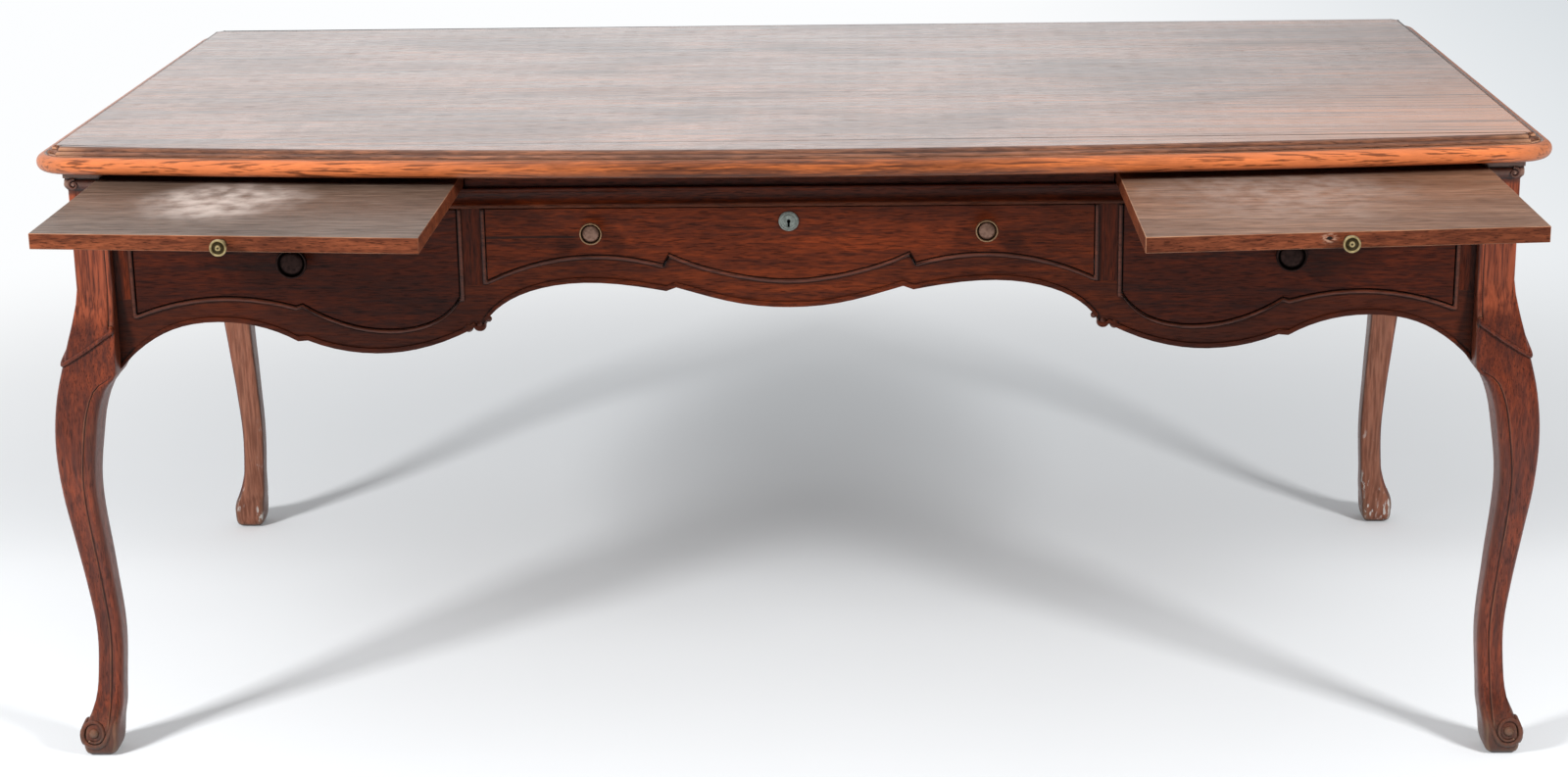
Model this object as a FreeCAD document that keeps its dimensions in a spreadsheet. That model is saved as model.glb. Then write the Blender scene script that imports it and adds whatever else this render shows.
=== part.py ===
import FreeCAD, Part
import os
import re
from math import cos, radians, sin

import Sketcher
from FreeCAD import Vector

# Writing desk: a moulded top on four cabriole legs, three shaped drawers and two writing slides.
# Everything is measured from the floor under the middle of the desk: X to the right, the front
# towards -Y, Z up. At the end each piece moves back by origin_back, which puts the origin at the
# middle of the floor space that the desk takes up with its slides drawn out.
doc = FreeCAD.newDocument("WritingDesk")

# Driving sizes, in millimetres.
SIZES = {
    # Top
    "top_width": 1800,
    "top_depth": 900,
    "top_bow": 55,
    "desk_height": 780,
    "slab_thick": 26,
    "slab_corner": 45,
    "nose_round": 12.5,
    "field_rise": 4,
    "field_inset": 20,
    "field_notch": 12,
    "field_round": 1.5,
    # Leg: post, knee, shank and foot
    "top_overhang": 35,
    "post_side": 45,
    "knee_start_drop": 150,
    "knee_drop": 337,
    "knee_out": 33.4,
    "root_step": 17.5,
    "ankle_height": 158,
    "ankle_out": 9.3,
    "scroll_radius": 17.5,
    "scroll_out": 18,
    "scroll_height": 32,
    "eye_radius": 7,
    "eye_raise": 2.5,
    "pad_height": 10,
    "pad_out": 30,
    "pad_in": 15,
    "cap_high": 8,
    "cap_proud": 3.5,
    "curl_high": 18,
    "curl_proud": 4.5,
    "leg_bead": 11,
    "leg_bead_raise": 1.6,
    # Frame
    "apron_setback": 10,
    "apron_thick": 24,
    "strip_setback": 15,
    "strip_high": 10,
    "slot_high": 20,
    "frieze_setback": 6,
    "frieze_high": 25,
    "moulding_thick": 13,
    "centre_opening": 732,
    "inner_stile": 33,
    "end_stile": 24,
    "stile_seat": 6,
    "end_stile_foot": 110,
    "tenon_long": 20,
    "tenon_thick": 10,
    "tenon_shoulder": 5,
    "partition_thick": 23,
    # Lower edge of the aprons
    "apron_band": 30.5,
    "arch_rise": 87,
    "edge_bead": 6,
    "bead_proud": 3,
    "opening_bead": 5,
    # Drawers
    "drawer_gap": 1,
    "drawer_setback": 9,
    "front_thick": 20,
    "side_front_high": 148,
    "bay_step": 60,
    "box_clear": 4,
    "box_drop": 3,
    "box_length": 560,
    "box_board": 12,
    "bottom_thick": 6,
    "bottom_rise": 6,
    "groove_deep": 5,
    "run_gap": 0.5,
    "runner_high": 20,
    "runner_wide": 22,
    "guide_high": 28,
    # Writing slides
    "slide_thick": 18,
    "slide_length": 560,
    "slide_lip": 6,
    "slide_slant": 36,
    "slide_seat_radius": 5.5,
    "slide_seat_deep": 0.5,
    "slide_gap": 1,
    "left_pull": 293,
    "right_pull": 314,
    "full_pull": 400,
    "stop_wide": 60,
    "stop_deep": 20,
    "stop_high": 12,
    "stop_gap": 0.5,
    # Knobs, lock and escutcheon
    "slide_knob_radius": 9.5,
    "slide_knob_reach": 22,
    "centre_knob_radius": 13.75,
    "centre_knob_reach": 24,
    "centre_knob_drop": 26,
    "side_knob_radius": 19,
    "side_knob_reach": 26,
    "side_knob_drop": 59,
    "escutcheon_radius": 12,
    "escutcheon_thick": 2,
    "escutcheon_drop": 17,
    "keyhole_radius": 2.2,
    "keyhole_slot": 2.4,
    "keyhole_drop": 8,
    "lock_wide": 60,
    "lock_clear": 1,
    "lock_deep": 12,
    "bolt_wide": 16,
    "bolt_thick": 5,
    "bolt_seat": 14,
    "bolt_rise": 8,
    "bolt_gap": 0.4,
    # Buttons under the top
    "button_long": 40,
    "button_reach": 30,
    # How far a cutting shape runs past what it cuts
    "cut_overrun": 5,
}

# Where a centre knob sits, as a share of the half opening, and how far up each drawer box reaches,
# as the smallest share of its front's height.
centre_knob_share = 0.645
centre_box_share = 0.625
side_box_share = 0.716

# Places and sizes worked out from the driving sizes.
PLACES = {
    "frame_top": "desk_height - field_rise - slab_thick",
    "post_x": "top_width / 2 - top_overhang",
    "post_y": "top_depth / 2 - top_overhang",
    "post_in_x": "post_x - post_side",
    "post_in_y": "post_y - post_side",
    "apron_x": "post_x - apron_setback",
    "apron_y": "post_y - apron_setback",
    "apron_in_x": "apron_x - apron_thick",
    "apron_in_y": "apron_y - apron_thick",
    "strip_y": "post_y - strip_setback",
    "frieze_y": "post_y - frieze_setback",
    "moulding_in_y": "frieze_y - moulding_thick",
    "slot_top": "frame_top - strip_high",
    "slot_floor": "slot_top - slot_high",
    "frieze_low": "slot_floor - frieze_high",
    "centre_half": "centre_opening / 2",
    "side_start": "centre_half + inner_stile",
    "side_end": "post_in_x - end_stile",
    "partition_out": "centre_half + partition_thick",
    "end_stile_low": "frieze_low - end_stile_foot",
    "drawer_top": "frieze_low - drawer_gap",
    "centre_front_high": "side_front_high - bay_step",
    "stile_low": "drawer_top - centre_front_high - stile_seat",
    "belly_height": "drawer_top - side_front_high - apron_band",
    "knee_root": "belly_height - root_step",
    "knee_start": "frame_top - knee_start_drop",
    "knee_height": "frame_top - knee_drop",
    "drawer_y": "post_y - drawer_setback",
    "drawer_in_y": "drawer_y - front_thick",
    "box_top": "drawer_top - box_drop",
    "centre_box_high": f"centre_front_high * {centre_box_share} - box_drop - box_clear",
    "side_box_high": f"side_front_high * {side_box_share} - box_drop - box_clear",
    "centre_knob_x": f"centre_half * {centre_knob_share}",
    "centre_knob_z": "drawer_top - centre_knob_drop",
    "side_knob_z": "drawer_top - side_knob_drop",
    "escutcheon_z": "drawer_top - escutcheon_drop",
    "centre_floor": "box_top - centre_box_high",
    "side_floor": "box_top - side_box_high",
    "box_back_y": "box_length - drawer_in_y",
    "slide_in_x": "partition_out + slide_gap",
    "slide_out_x": "post_in_x + slide_lip",
    "slide_low": "slot_floor + run_gap",
    "slide_mid_x": "(slide_in_x + slide_out_x) / 2",
    "slide_front": "apron_y + slide_slant / 2",
    "side_mid_x": "(side_start + side_end) / 2",
    "lock_y": "drawer_in_y + lock_deep",
    "lock_high": "box_drop + centre_box_high - bottom_rise - bottom_thick - lock_clear",
    "bolt_long": "lock_high - bolt_seat",
    "bolt_y": "drawer_in_y + lock_deep / 2 + bolt_thick / 2",
    "bolt_way": "bolt_wide / 2 + bolt_gap",
    "keeper_low": "drawer_top + bolt_rise + bolt_gap",
    "front_reach": "slide_front + max(left_pull, right_pull) + slide_knob_reach",
    "foot_reach": "post_y + scroll_out + scroll_radius + eye_raise",
    "back_reach": "max(top_depth / 2, foot_reach)",
    "origin_back": "(front_reach - back_reach) / 2",
}

sheet = doc.addObject("Spreadsheet::Sheet", "Sizes")
for row, (name, value) in enumerate(SIZES.items(), 1):
    sheet.set(f"A{row}", name)
    sheet.set(f"B{row}", str(value))
    sheet.setAlias(f"B{row}", name)
doc.recompute()

places = doc.addObject("App::VarSet", "Places")


def formula(text):
    """Writes a formula in plain names as one that reads the sheet and the worked-out places."""

    def owner(match):
        name = match.group()
        return f"Sizes.{name}" if name in SIZES else f"Places.{name}"

    return re.sub(r"[a-z]+_\w+", owner, text)


for name, text in PLACES.items():
    places.addProperty("App::PropertyFloat", name)
    places.setExpression(name, formula(text))
doc.recompute()


def size(name):
    """A driving size or a worked-out place as a number."""
    return float(sheet.get(name)) if name in SIZES else getattr(places, name)


def bind(item, prop, text):
    item.setExpression(prop, formula(text))


def set_back(item):
    bind(item, "Placement.Base.y", "origin_back")


NODES = []


def node(item, label):
    """Gives a finished sub-part the name that its file takes."""
    item.Label = label
    NODES.append(item)
    return item


def box(name, across, along, up, side=1):
    """A squared board between two places on each axis; side -1 puts it on the left."""
    board = doc.addObject("Part::Box", name)
    bind(board, "Length", f"({across[1]}) - ({across[0]})")
    bind(board, "Width", f"({along[1]}) - ({along[0]})")
    bind(board, "Height", f"({up[1]}) - ({up[0]})")
    bind(board, "Placement.Base.x", across[0] if side > 0 else f"-({across[1]})")
    bind(board, "Placement.Base.y", f"origin_back + ({along[0]})")
    bind(board, "Placement.Base.z", up[0])
    return board


def cut(name, base, tools):
    """A board with the grooves or pockets of other boards taken out."""
    result = base
    for count, tool in enumerate(tools, 1):
        step = doc.addObject("Part::Cut", f"{name}_{count}")
        step.Base = result
        step.Tool = tool
        result = step
    return result


def group(name, items):
    """Like pieces that share one name and stay separate solids."""
    bundle = doc.addObject("Part::Compound", name)
    bundle.Links = items
    return bundle


def shaped(name, shape):
    """A piece whose form no single feature makes, from the shape worked out for it."""
    piece = doc.addObject("Part::Feature", name)
    piece.Shape = Part.makeCompound(shape.Solids)
    set_back(piece)
    return piece


class Trace:
    """A closed outline drawn step by step in the XZ plane."""

    def __init__(self, x, z):
        self.start = self.here = Vector(x, 0, z)
        self.edges = []

    def line(self, x, z):
        there = Vector(x, 0, z)
        self.edges.append(Part.LineSegment(self.here, there).toShape())
        self.here = there
        return self

    def arc(self, via, to):
        middle = Vector(via[0], 0, via[1])
        there = Vector(to[0], 0, to[1])
        self.edges.append(Part.Arc(self.here, middle, there).toShape())
        self.here = there
        return self

    def curve(self, points, leave=None, arrive=None):
        """A smooth curve through points, which may leave and arrive in a set direction."""
        stops = [self.here] + [Vector(x, 0, z) for x, z in points]
        aims = [Vector(0, 0, 1)] * len(stops)
        held = [False] * len(stops)
        for place, aim in ((0, leave), (-1, arrive)):
            if aim:
                aims[place] = Vector(aim[0], 0, aim[1])
                held[place] = True
        spline = Part.BSplineCurve()
        if leave or arrive:
            spline.interpolate(Points=stops, Tangents=aims, TangentFlags=held)
        else:
            spline.interpolate(Points=stops)
        self.edges.append(spline.toShape())
        self.here = stops[-1]
        return self

    def face(self):
        if (self.here - self.start).Length > 1e-6:
            self.line(self.start.x, self.start.z)
        return Part.Face(Part.Wire(self.edges))


def extrude_y(face, y_from, y_to):
    """Pushes an outline of the XZ plane out between two places on Y."""
    moved = face.copy()
    moved.translate(Vector(0, y_from, 0))
    return moved.extrude(Vector(0, y_to - y_from, 0))


def solid_box(x_low, x_high, y_low, y_high, z_low, z_high):
    return Part.makeBox(x_high - x_low, y_high - y_low, z_high - z_low, Vector(x_low, y_low, z_low))


def mirrored(shape, axis):
    return shape.mirror(Vector(0, 0, 0), axis)


ACROSS = Vector(1, 0, 0)
ALONG = Vector(0, 1, 0)


# Sketches

def middle_sketch(body, name, plane, lift=None):
    """A sketch on one of the body's own planes, lifted off it by a formula."""
    sketch = body.newObject("Sketcher::SketchObject", name)
    face = next(f for f in body.Origin.OriginFeatures if f.Role == plane)
    sketch.AttachmentSupport = [(face, "")]
    sketch.MapMode = "FlatFace"
    if lift:
        bind(sketch, "AttachmentOffset.Base.z", lift)
    return sketch


def draw_bow_front(sketch, wide, high, start, bow):
    """A rectangle about the sketch's middle whose front side bows out in an arc, all bound to formulas."""
    half = start / 2
    corners = [Vector(-half, -half, 0), Vector(half, -half, 0), Vector(half, half, 0), Vector(-half, half, 0)]
    sketch.addGeometry(Part.Arc(corners[0], Vector(0, -half - size(bow), 0), corners[1]))
    for index in range(1, 4):
        sketch.addGeometry(Part.LineSegment(corners[index], corners[(index + 1) % 4]))
    for index in range(4):
        sketch.addConstraint(Sketcher.Constraint("Coincident", index, 2, (index + 1) % 4, 1))
    sketch.addConstraint(Sketcher.Constraint("Horizontal", 0, 1, 0, 2))
    for index, way in enumerate(("Vertical", "Horizontal", "Vertical"), 1):
        sketch.addConstraint(Sketcher.Constraint(way, index))
    sketch.addConstraint(Sketcher.Constraint("Symmetric", 0, 1, 2, 1, -1, 1))
    bend = sketch.addConstraint(Sketcher.Constraint("Radius", 0, (half**2 + size(bow) ** 2) / (2 * size(bow))))
    bind(sketch, f"Constraints[{bend}]", f"(({wide}) * ({wide}) / 4 + {bow} * {bow}) / (2 * {bow})")
    width = sketch.addConstraint(Sketcher.Constraint("DistanceX", 0, 1, 0, 2, start))
    height = sketch.addConstraint(Sketcher.Constraint("DistanceY", 1, 1, 1, 2, start))
    bind(sketch, f"Constraints[{width}]", wide)
    bind(sketch, f"Constraints[{height}]", high)


def draw_circle(sketch, across, up, radius):
    """A circle whose middle and radius are bound to formulas; across and up are (number, formula)."""
    ring = sketch.addGeometry(Part.Circle(Vector(across[0], up[0], 0), Vector(0, 0, 1), radius[0]))
    for way, (number, text), place in (("DistanceX", across, 0), ("DistanceY", up, 1)):
        if text == "0":
            sketch.addConstraint(Sketcher.Constraint("PointOnObject", ring, 3, -2 + place))
        else:
            held = sketch.addConstraint(Sketcher.Constraint(way, -1, 1, ring, 3, number))
            bind(sketch, f"Constraints[{held}]", text)
    held = sketch.addConstraint(Sketcher.Constraint("Radius", ring, radius[0]))
    bind(sketch, f"Constraints[{held}]", radius[1])


def round_edges(body, name, base, wanted, radius):
    """Rounds the edges of a feature that the wanted test picks."""
    doc.recompute()
    picked = [f"Edge{i}" for i, edge in enumerate(base.Shape.Edges, 1) if wanted(edge.BoundBox)]
    fillet = body.newObject("PartDesign::Fillet", name)
    fillet.Base = (base, picked)
    bind(fillet, "Radius", radius)
    doc.recompute()
    return fillet


# Desk top: a slab with a bowed front and a full rounded edge, and a raised field whose corners turn inwards.

def desk_top():
    body = doc.addObject("PartDesign::Body", "DeskTop")
    outline = middle_sketch(body, "SlabOutline", "XY_Plane")
    draw_bow_front(outline, "top_width", "top_depth", size("top_depth"), "top_bow")
    slab = body.newObject("PartDesign::Pad", "Slab")
    slab.Profile = outline
    bind(slab, "Length", "slab_thick")
    thick = size("slab_thick")
    corners = round_edges(body, "SlabCorners", slab, lambda b: b.ZLength > thick / 2, "slab_corner")
    nose = round_edges(body, "Nose", corners, lambda b: b.ZLength < thick / 2, "nose_round")

    field_outline = middle_sketch(body, "FieldOutline", "XY_Plane", "slab_thick")
    draw_bow_front(
        field_outline, "top_width - 2 * field_inset", "top_depth - 2 * field_inset", size("top_depth"), "top_bow"
    )
    field = body.newObject("PartDesign::Pad", "Field")
    field.Profile = field_outline
    bind(field, "Length", "field_rise")

    notch_outline = middle_sketch(body, "NotchOutline", "XY_Plane", "slab_thick + field_rise")
    reach_x = size("top_width") / 2 - size("field_inset")
    reach_y = size("top_depth") / 2 - size("field_inset")
    for x_sign in (-1, 1):
        for y_sign in (-1, 1):
            draw_circle(
                notch_outline,
                (x_sign * reach_x, f"{x_sign} * (top_width / 2 - field_inset)"),
                (y_sign * reach_y, f"{y_sign} * (top_depth / 2 - field_inset)"),
                (size("field_notch"), "field_notch"),
            )
    notches = body.newObject("PartDesign::Pocket", "Notches")
    notches.Profile = notch_outline
    bind(notches, "Length", "field_rise")
    high = thick + size("field_rise")
    soft = round_edges(
        body, "FieldEdge", notches, lambda b: b.ZMin > high - size("field_round") / 2, "field_round"
    )
    body.Tip = soft
    bind(body, "Placement.Base.z", "frame_top")
    set_back(body)
    node(body, "desk_top")


# Cabriole leg, sawn from square stock along the same profile on two faces.

# Shares of the way from knee_start down to the knee and on to the ankle, with the share of the
# swing out that the arris has there.
knee_rise_shares = (0.385, 0.464)
shank_shares = (0.49, 0.43)
# Inner line: height as a share of knee_root, and depth inwards as a share of post_side.
inner_line_shares = (
    (0.918, 0.52),
    (0.859, 0.40),
    (0.709, 0.24),
    (0.486, 0.39),
    (0.317, 0.493),
    (0.165, 0.407),
    (0.040, 0.345),
)
# Where the leg's outline meets the foot's scroll, and where it leaves it, in degrees.
scroll_meets = 77
scroll_leaves = -60


def arris_points():
    """The arris from the post down to the foot: how far it stands out of the post, and its height."""
    knee, ankle = size("knee_height"), size("ankle_height")
    start = size("knee_start")
    swing = size("knee_out") - size("ankle_out")
    scroll = size("scroll_radius")
    turn = radians(scroll_meets)
    return [
        (size("knee_out") * knee_rise_shares[1], start - (start - knee) * knee_rise_shares[0]),
        (size("knee_out"), knee),
        (size("knee_out") - swing * shank_shares[1], knee - (knee - ankle) * shank_shares[0]),
        (size("ankle_out"), ankle),
        (size("scroll_out") + scroll * cos(turn), size("scroll_height") + scroll * sin(turn)),
    ]


def leg_outline():
    """The leg's side view, with the post's outer face at zero."""
    top = size("frame_top")
    cap_low = top - size("cap_high")
    curl_low = cap_low - size("curl_high")
    scroll, out, up = size("scroll_radius"), size("scroll_out"), size("scroll_height")
    leave = radians(scroll_leaves)
    trace = Trace(-size("post_side"), top)
    trace.line(size("cap_proud"), top)
    trace.line(size("cap_proud"), cap_low)
    trace.line(0, cap_low)
    trace.arc((size("curl_proud"), (cap_low + curl_low) / 2), (0, curl_low))
    trace.line(0, size("knee_start"))
    trace.curve(arris_points(), leave=(0, -1))
    trace.arc((out + scroll, up), (out + scroll * cos(leave), up + scroll * sin(leave)))
    trace.line(size("pad_out"), size("pad_height"))
    trace.line(size("pad_out"), 0)
    trace.line(-size("pad_in"), 0)
    trace.line(-size("pad_in"), size("pad_height"))
    return inner_line(trace).face()


def from_front(face):
    """Saws an outline through square stock from the front, for the front right corner."""
    moved = face.copy()
    moved.translate(Vector(size("post_x"), 0, 0))
    return moved.extrude(Vector(0, -size("top_width"), 0))


def from_side(face):
    """Saws an outline through square stock from the side, for the front right corner."""
    moved = face.copy()
    moved.rotate(Vector(0, 0, 0), Vector(0, 0, 1), -90)
    moved.translate(Vector(0, -size("post_y"), 0))
    return moved.extrude(Vector(size("top_width"), 0, 0))


def inner_line(trace, out=0):
    """Draws the leg's inner line from the foot up to where the leg meets the apron."""
    root = size("knee_root")
    spots = [(out - size("post_side") * deep, root * high) for high, deep in inner_line_shares]
    return trace.curve(list(reversed(spots)) + [(out - size("post_side"), root)])


def bead_outline():
    """The broad bead that runs up the leg's inner edge, from the foot to the apron."""
    wide = size("leg_bead")
    low, root = size("pad_height"), size("knee_root")
    near = inner_line(Trace(-size("pad_in"), low)).edges
    far = inner_line(Trace(wide - size("pad_in"), low), wide).edges
    ends = [
        Part.LineSegment(Vector(x, 0, z), Vector(x + wide, 0, z)).toShape()
        for x, z in ((-size("pad_in"), low), (-size("post_side"), root))
    ]
    return Part.Face(Part.Wire(Part.__sortEdges__(near + far + ends)))


def swap_faces(shape):
    """Turns a shape made for the front face into the same shape on the outer face."""
    turned_shape = shape.copy()
    turned_shape.translate(Vector(-size("post_x"), size("post_y"), 0))
    turned_shape = turned_shape.mirror(Vector(0, 0, 0), Vector(1, 1, 0))
    turned_shape.translate(Vector(size("post_x"), -size("post_y"), 0))
    return turned_shape


def leg_stock():
    """The sawn leg with its two beads and the eyes of its two scrolls."""
    outline = leg_outline()
    proud = outline.copy()
    proud.translate(Vector(size("leg_bead_raise"), 0, 0))
    bead = from_front(bead_outline()).common(from_side(proud))
    out = size("scroll_out")
    proud_out = out + size("scroll_radius") + size("eye_raise") - size("eye_radius")
    carved = [bead, swap_faces(bead)]
    for x, y in ((out, proud_out), (proud_out, out)):
        middle = Vector(size("post_x") + x, -size("post_y") - y, size("scroll_height"))
        carved.append(Part.makeSphere(size("eye_radius"), middle, Vector(x - y, x - y, 0)))
    return from_front(outline).common(from_side(outline)).fuse(carved)


def tenons():
    """Every tenon as (post corner, box): the rails' ends and the mortises both come from it."""
    long, thick, shoulder = size("tenon_long"), size("tenon_thick"), size("tenon_shoulder")
    post_x, post_y = size("post_in_x"), size("post_in_y")
    deep_y = size("apron_in_y") + (size("apron_thick") - thick) / 2
    deep_x = size("apron_in_x") + (size("apron_thick") - thick) / 2
    spans = {
        "apron": (size("knee_root") + shoulder, size("end_stile_low") - shoulder),
        "frieze": (size("frieze_low") + shoulder, size("slot_floor") - shoulder),
        "back": (size("knee_root") + shoulder, size("frame_top") - 2 * shoulder),
    }
    boxes = {}
    for name, (low, high) in spans.items():
        boxes[name] = solid_box(post_x, post_x + long, -deep_y - thick, -deep_y, low, high)
    # The frieze rail is thinner than the apron, so its tenon sits in the middle of what it has.
    deep_y = (size("apron_in_y") + size("moulding_in_y") - thick) / 2
    low, high = spans["frieze"]
    boxes["frieze"] = solid_box(post_x, post_x + long, -deep_y - thick, -deep_y, low, high)
    low, high = spans["back"]
    # The side rail's tenon stops at half its length, short of the front rails' tenons.
    boxes["side"] = solid_box(deep_x, deep_x + thick, -post_y - long / 2, -post_y, low, high)
    return boxes


def legs():
    stock = leg_stock()
    joints = tenons()
    slot = solid_box(
        size("post_in_x") - size("cut_overrun"),
        size("slide_out_x") + size("slide_gap"),
        -size("top_depth"),
        0,
        size("slot_floor"),
        size("slot_top"),
    )
    front = stock.cut([joints["apron"], joints["frieze"], joints["side"], slot])
    back = stock.cut([joints["back"], joints["side"]])
    for end, leg in (("front", front), ("back", mirrored(back, ALONG))):
        for hand, piece in (("right", leg), ("left", mirrored(leg, ACROSS))):
            shape = piece.removeSplitter()
            node(shaped(f"Leg_{end}_{hand}", shape), f"{end}_{hand}_leg")


# Shaped lower edge of the aprons. In the middle bay the first share runs from the middle to the
# bay's edge, in the outer bay from there to the post. The second share is the height over the
# bellies, as a share of arch_rise. Each curve ends at a small step.
middle_curve_shares = ((0.0, 0.632), (0.157, 0.690), (0.261, 0.799), (0.358, 0.925))
middle_arch_shares = ((0.390, 0.874), (0.627, 1.0), (0.797, 0.914), (0.902, 0.718), (0.970, 0.430))
curl_shares = ((0.980, 0.322), (1.004, 0.362))
outer_belly_shares = ((0.102, 0.144), (0.223, 0.012), (0.280, 0.0), (0.406, 0.086), (0.470, 0.195))
outer_arch_shares = ((0.497, 0.184), (0.595, 0.391), (0.726, 0.471), (0.842, 0.374), (0.927, 0.144))


def low_edge(trace, bay, post, lift=0):
    """Draws the lower edge from the middle to the post, lifted by lift."""
    base = size("belly_height") + lift
    rise = size("arch_rise")

    def middle(shares):
        return [(bay * across, base + rise * up) for across, up in shares]

    def outer(shares):
        return [(bay + (post - bay) * across, base + rise * up) for across, up in shares]

    trace.curve(middle(middle_curve_shares)[1:], leave=(1, 0))
    first, *rest = middle(middle_arch_shares)
    trace.line(*first).curve(rest)
    trace.arc(*middle(curl_shares))
    trace.curve(outer(outer_belly_shares))
    first, *rest = outer(outer_arch_shares)
    trace.line(*first).curve(rest + [(post, size("knee_root") + lift)])
    return trace


def half_apron(top, bay, post):
    start = size("belly_height") + size("arch_rise") * middle_curve_shares[0][1]
    trace = low_edge(Trace(0, start), bay, post)
    return trace.line(post, top).line(0, top).face()


def half_edge_bead(bay, post):
    """The moulding that follows the lower edge."""
    high = size("edge_bead")
    start = size("belly_height") + size("arch_rise") * middle_curve_shares[0][1]
    upper = low_edge(Trace(0, start + high), bay, post, high).edges
    lower = low_edge(Trace(0, start), bay, post).edges
    ends = [
        Part.LineSegment(Vector(x, 0, z), Vector(x, 0, z + high)).toShape()
        for x, z in ((0, start), (post, size("knee_root")))
    ]
    return Part.Face(Part.Wire(Part.__sortEdges__(upper + lower + ends)))


# Lower edges of the drawer fronts: share of the width, and share of the front's height.
centre_curve_shares = ((0.0, 1.0), (0.164, 0.93), (0.290, 0.80), (0.397, 0.625))
centre_arch_shares = ((0.416, 0.778), (0.652, 0.642), (1.0, 0.989))
side_belly_shares = ((0.0, 0.730), (0.071, 0.912), (0.220, 1.0), (0.370, 0.930), (0.486, 0.777))
side_arch_shares = ((0.506, 0.797), (0.754, 0.716), (1.0, 0.858))


def centre_front_face(grow=0):
    """Half of the centre drawer's front, or of an opening that is larger by grow all round."""
    half = size("centre_half") - size("drawer_gap")
    top = size("drawer_top")
    high = size("centre_front_high")

    def spot(share):
        return (half * share[0], top - high * share[1] - grow)

    trace = Trace(*spot(centre_curve_shares[0]))
    trace.curve([spot(share) for share in centre_curve_shares[1:]], leave=(1, 0))
    trace.line(*spot(centre_arch_shares[0]))
    trace.curve([spot(share) for share in centre_arch_shares[1:]])
    if grow:
        trace.line(half + grow, trace.here.z)
    trace.line(half + grow, top + grow)
    return trace.line(0, top + grow).face()


def side_front_face(grow=0):
    """The right drawer's front, or an opening that is larger by grow all round."""
    low_x = size("side_start") + size("drawer_gap")
    wide = size("side_end") - size("drawer_gap") - low_x
    top = size("drawer_top")
    high = size("side_front_high")

    def spot(share):
        return (low_x + wide * share[0], top - high * share[1] - grow)

    trace = Trace(*spot(side_belly_shares[0]))
    trace.curve([spot(share) for share in side_belly_shares[1:]])
    trace.line(*spot(side_arch_shares[0]))
    trace.curve([spot(share) for share in side_arch_shares[1:]])
    if grow:
        trace.line(low_x + wide + grow, trace.here.z)
    trace.line(low_x + wide + grow, top + grow).line(low_x - grow, top + grow)
    if grow:
        trace.line(low_x - grow, trace.start.z)
    return trace.face()


def both_halves(half):
    return half.fuse(mirrored(half, ACROSS)).removeSplitter()


def front_frame():
    bay = (size("centre_half") + size("side_start")) / 2
    post = size("post_in_x")
    front, back = -size("apron_y"), -size("apron_in_y")
    blank = extrude_y(half_apron(size("frieze_low"), bay, post), front, back)
    gap = size("drawer_gap")
    past = size("cut_overrun")
    faces = (centre_front_face, side_front_face)
    blank = blank.cut([extrude_y(face(gap), front - past, back + past) for face in faces])
    stile_boxes = {
        "inner": solid_box(
            size("centre_half"), size("side_start"), front, back, size("stile_low"), size("frieze_low")
        ),
        "end": solid_box(size("side_end"), post, front, back, size("end_stile_low"), size("frieze_low")),
    }
    apron = blank.cut(list(stile_boxes.values()))
    bead = extrude_y(half_edge_bead(bay, post), front - size("bead_proud"), front)
    apron = apron.fuse([bead, tenons()["apron"]])
    node(shaped("FrontApron", both_halves(apron)), "front_apron")
    for name, stile in stile_boxes.items():
        shape = blank.common(stile)
        for hand, piece in (("right", shape), ("left", mirrored(shape, ACROSS))):
            node(shaped(f"Stile_{name}_{hand}", piece), f"{hand}_{name}_stile")

    wide = size("opening_bead")
    below = solid_box(-post, post, front - past, front, 0, size("frieze_low"))
    beads = []
    for face in faces:
        outer = extrude_y(face(gap + wide), front - size("bead_proud"), front)
        inner = extrude_y(face(gap), front - size("bead_proud"), front)
        beads.append(outer.cut(inner).common(below))
    centre = both_halves(beads[0])
    shapes = [centre, beads[1], mirrored(beads[1], ACROSS)]
    solids = [solid for shape in shapes for solid in shape.Solids]
    node(shaped("OpeningBeads", Part.makeCompound(solids)), "drawer_opening_beads")


def upper_rails():
    """The recessed strip with the two slide slots, and the frieze rail with its proud moulding."""
    post = size("post_in_x")
    back = -size("apron_in_y")
    strip = solid_box(-post, post, -size("strip_y"), back, size("slot_floor"), size("frame_top"))
    slot = solid_box(
        size("partition_out"), post, -size("post_y"), 0, size("slot_floor"), size("slot_top")
    )
    strip = strip.cut([slot, mirrored(slot, ACROSS)])
    node(shaped("FrontStrip", strip), "front_strip")

    along = ("-frieze_y", "-moulding_in_y")
    band = ("frieze_low", "slot_floor")
    node(box("FriezeMoulding", ("-post_in_x", "post_in_x"), along, band), "frieze_moulding")
    # Behind the moulding the rail is in two lengths, which leave the lock's bolt its way up to the
    # keeper between them.
    rail = solid_box(
        size("bolt_way"), post, -size("moulding_in_y"), back, size("frieze_low"), size("slot_floor")
    )
    rail = rail.fuse(tenons()["frieze"]).removeSplitter()
    node(shaped("FriezeRail_right", rail), "right_frieze_rail")
    node(shaped("FriezeRail_left", mirrored(rail, ACROSS)), "left_frieze_rail")
    keeper = box(
        "Keeper", ("-bolt_way", "bolt_way"), ("-moulding_in_y", "-apron_in_y"), ("keeper_low", "slot_floor")
    )
    node(keeper, "lock_keeper")


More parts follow.
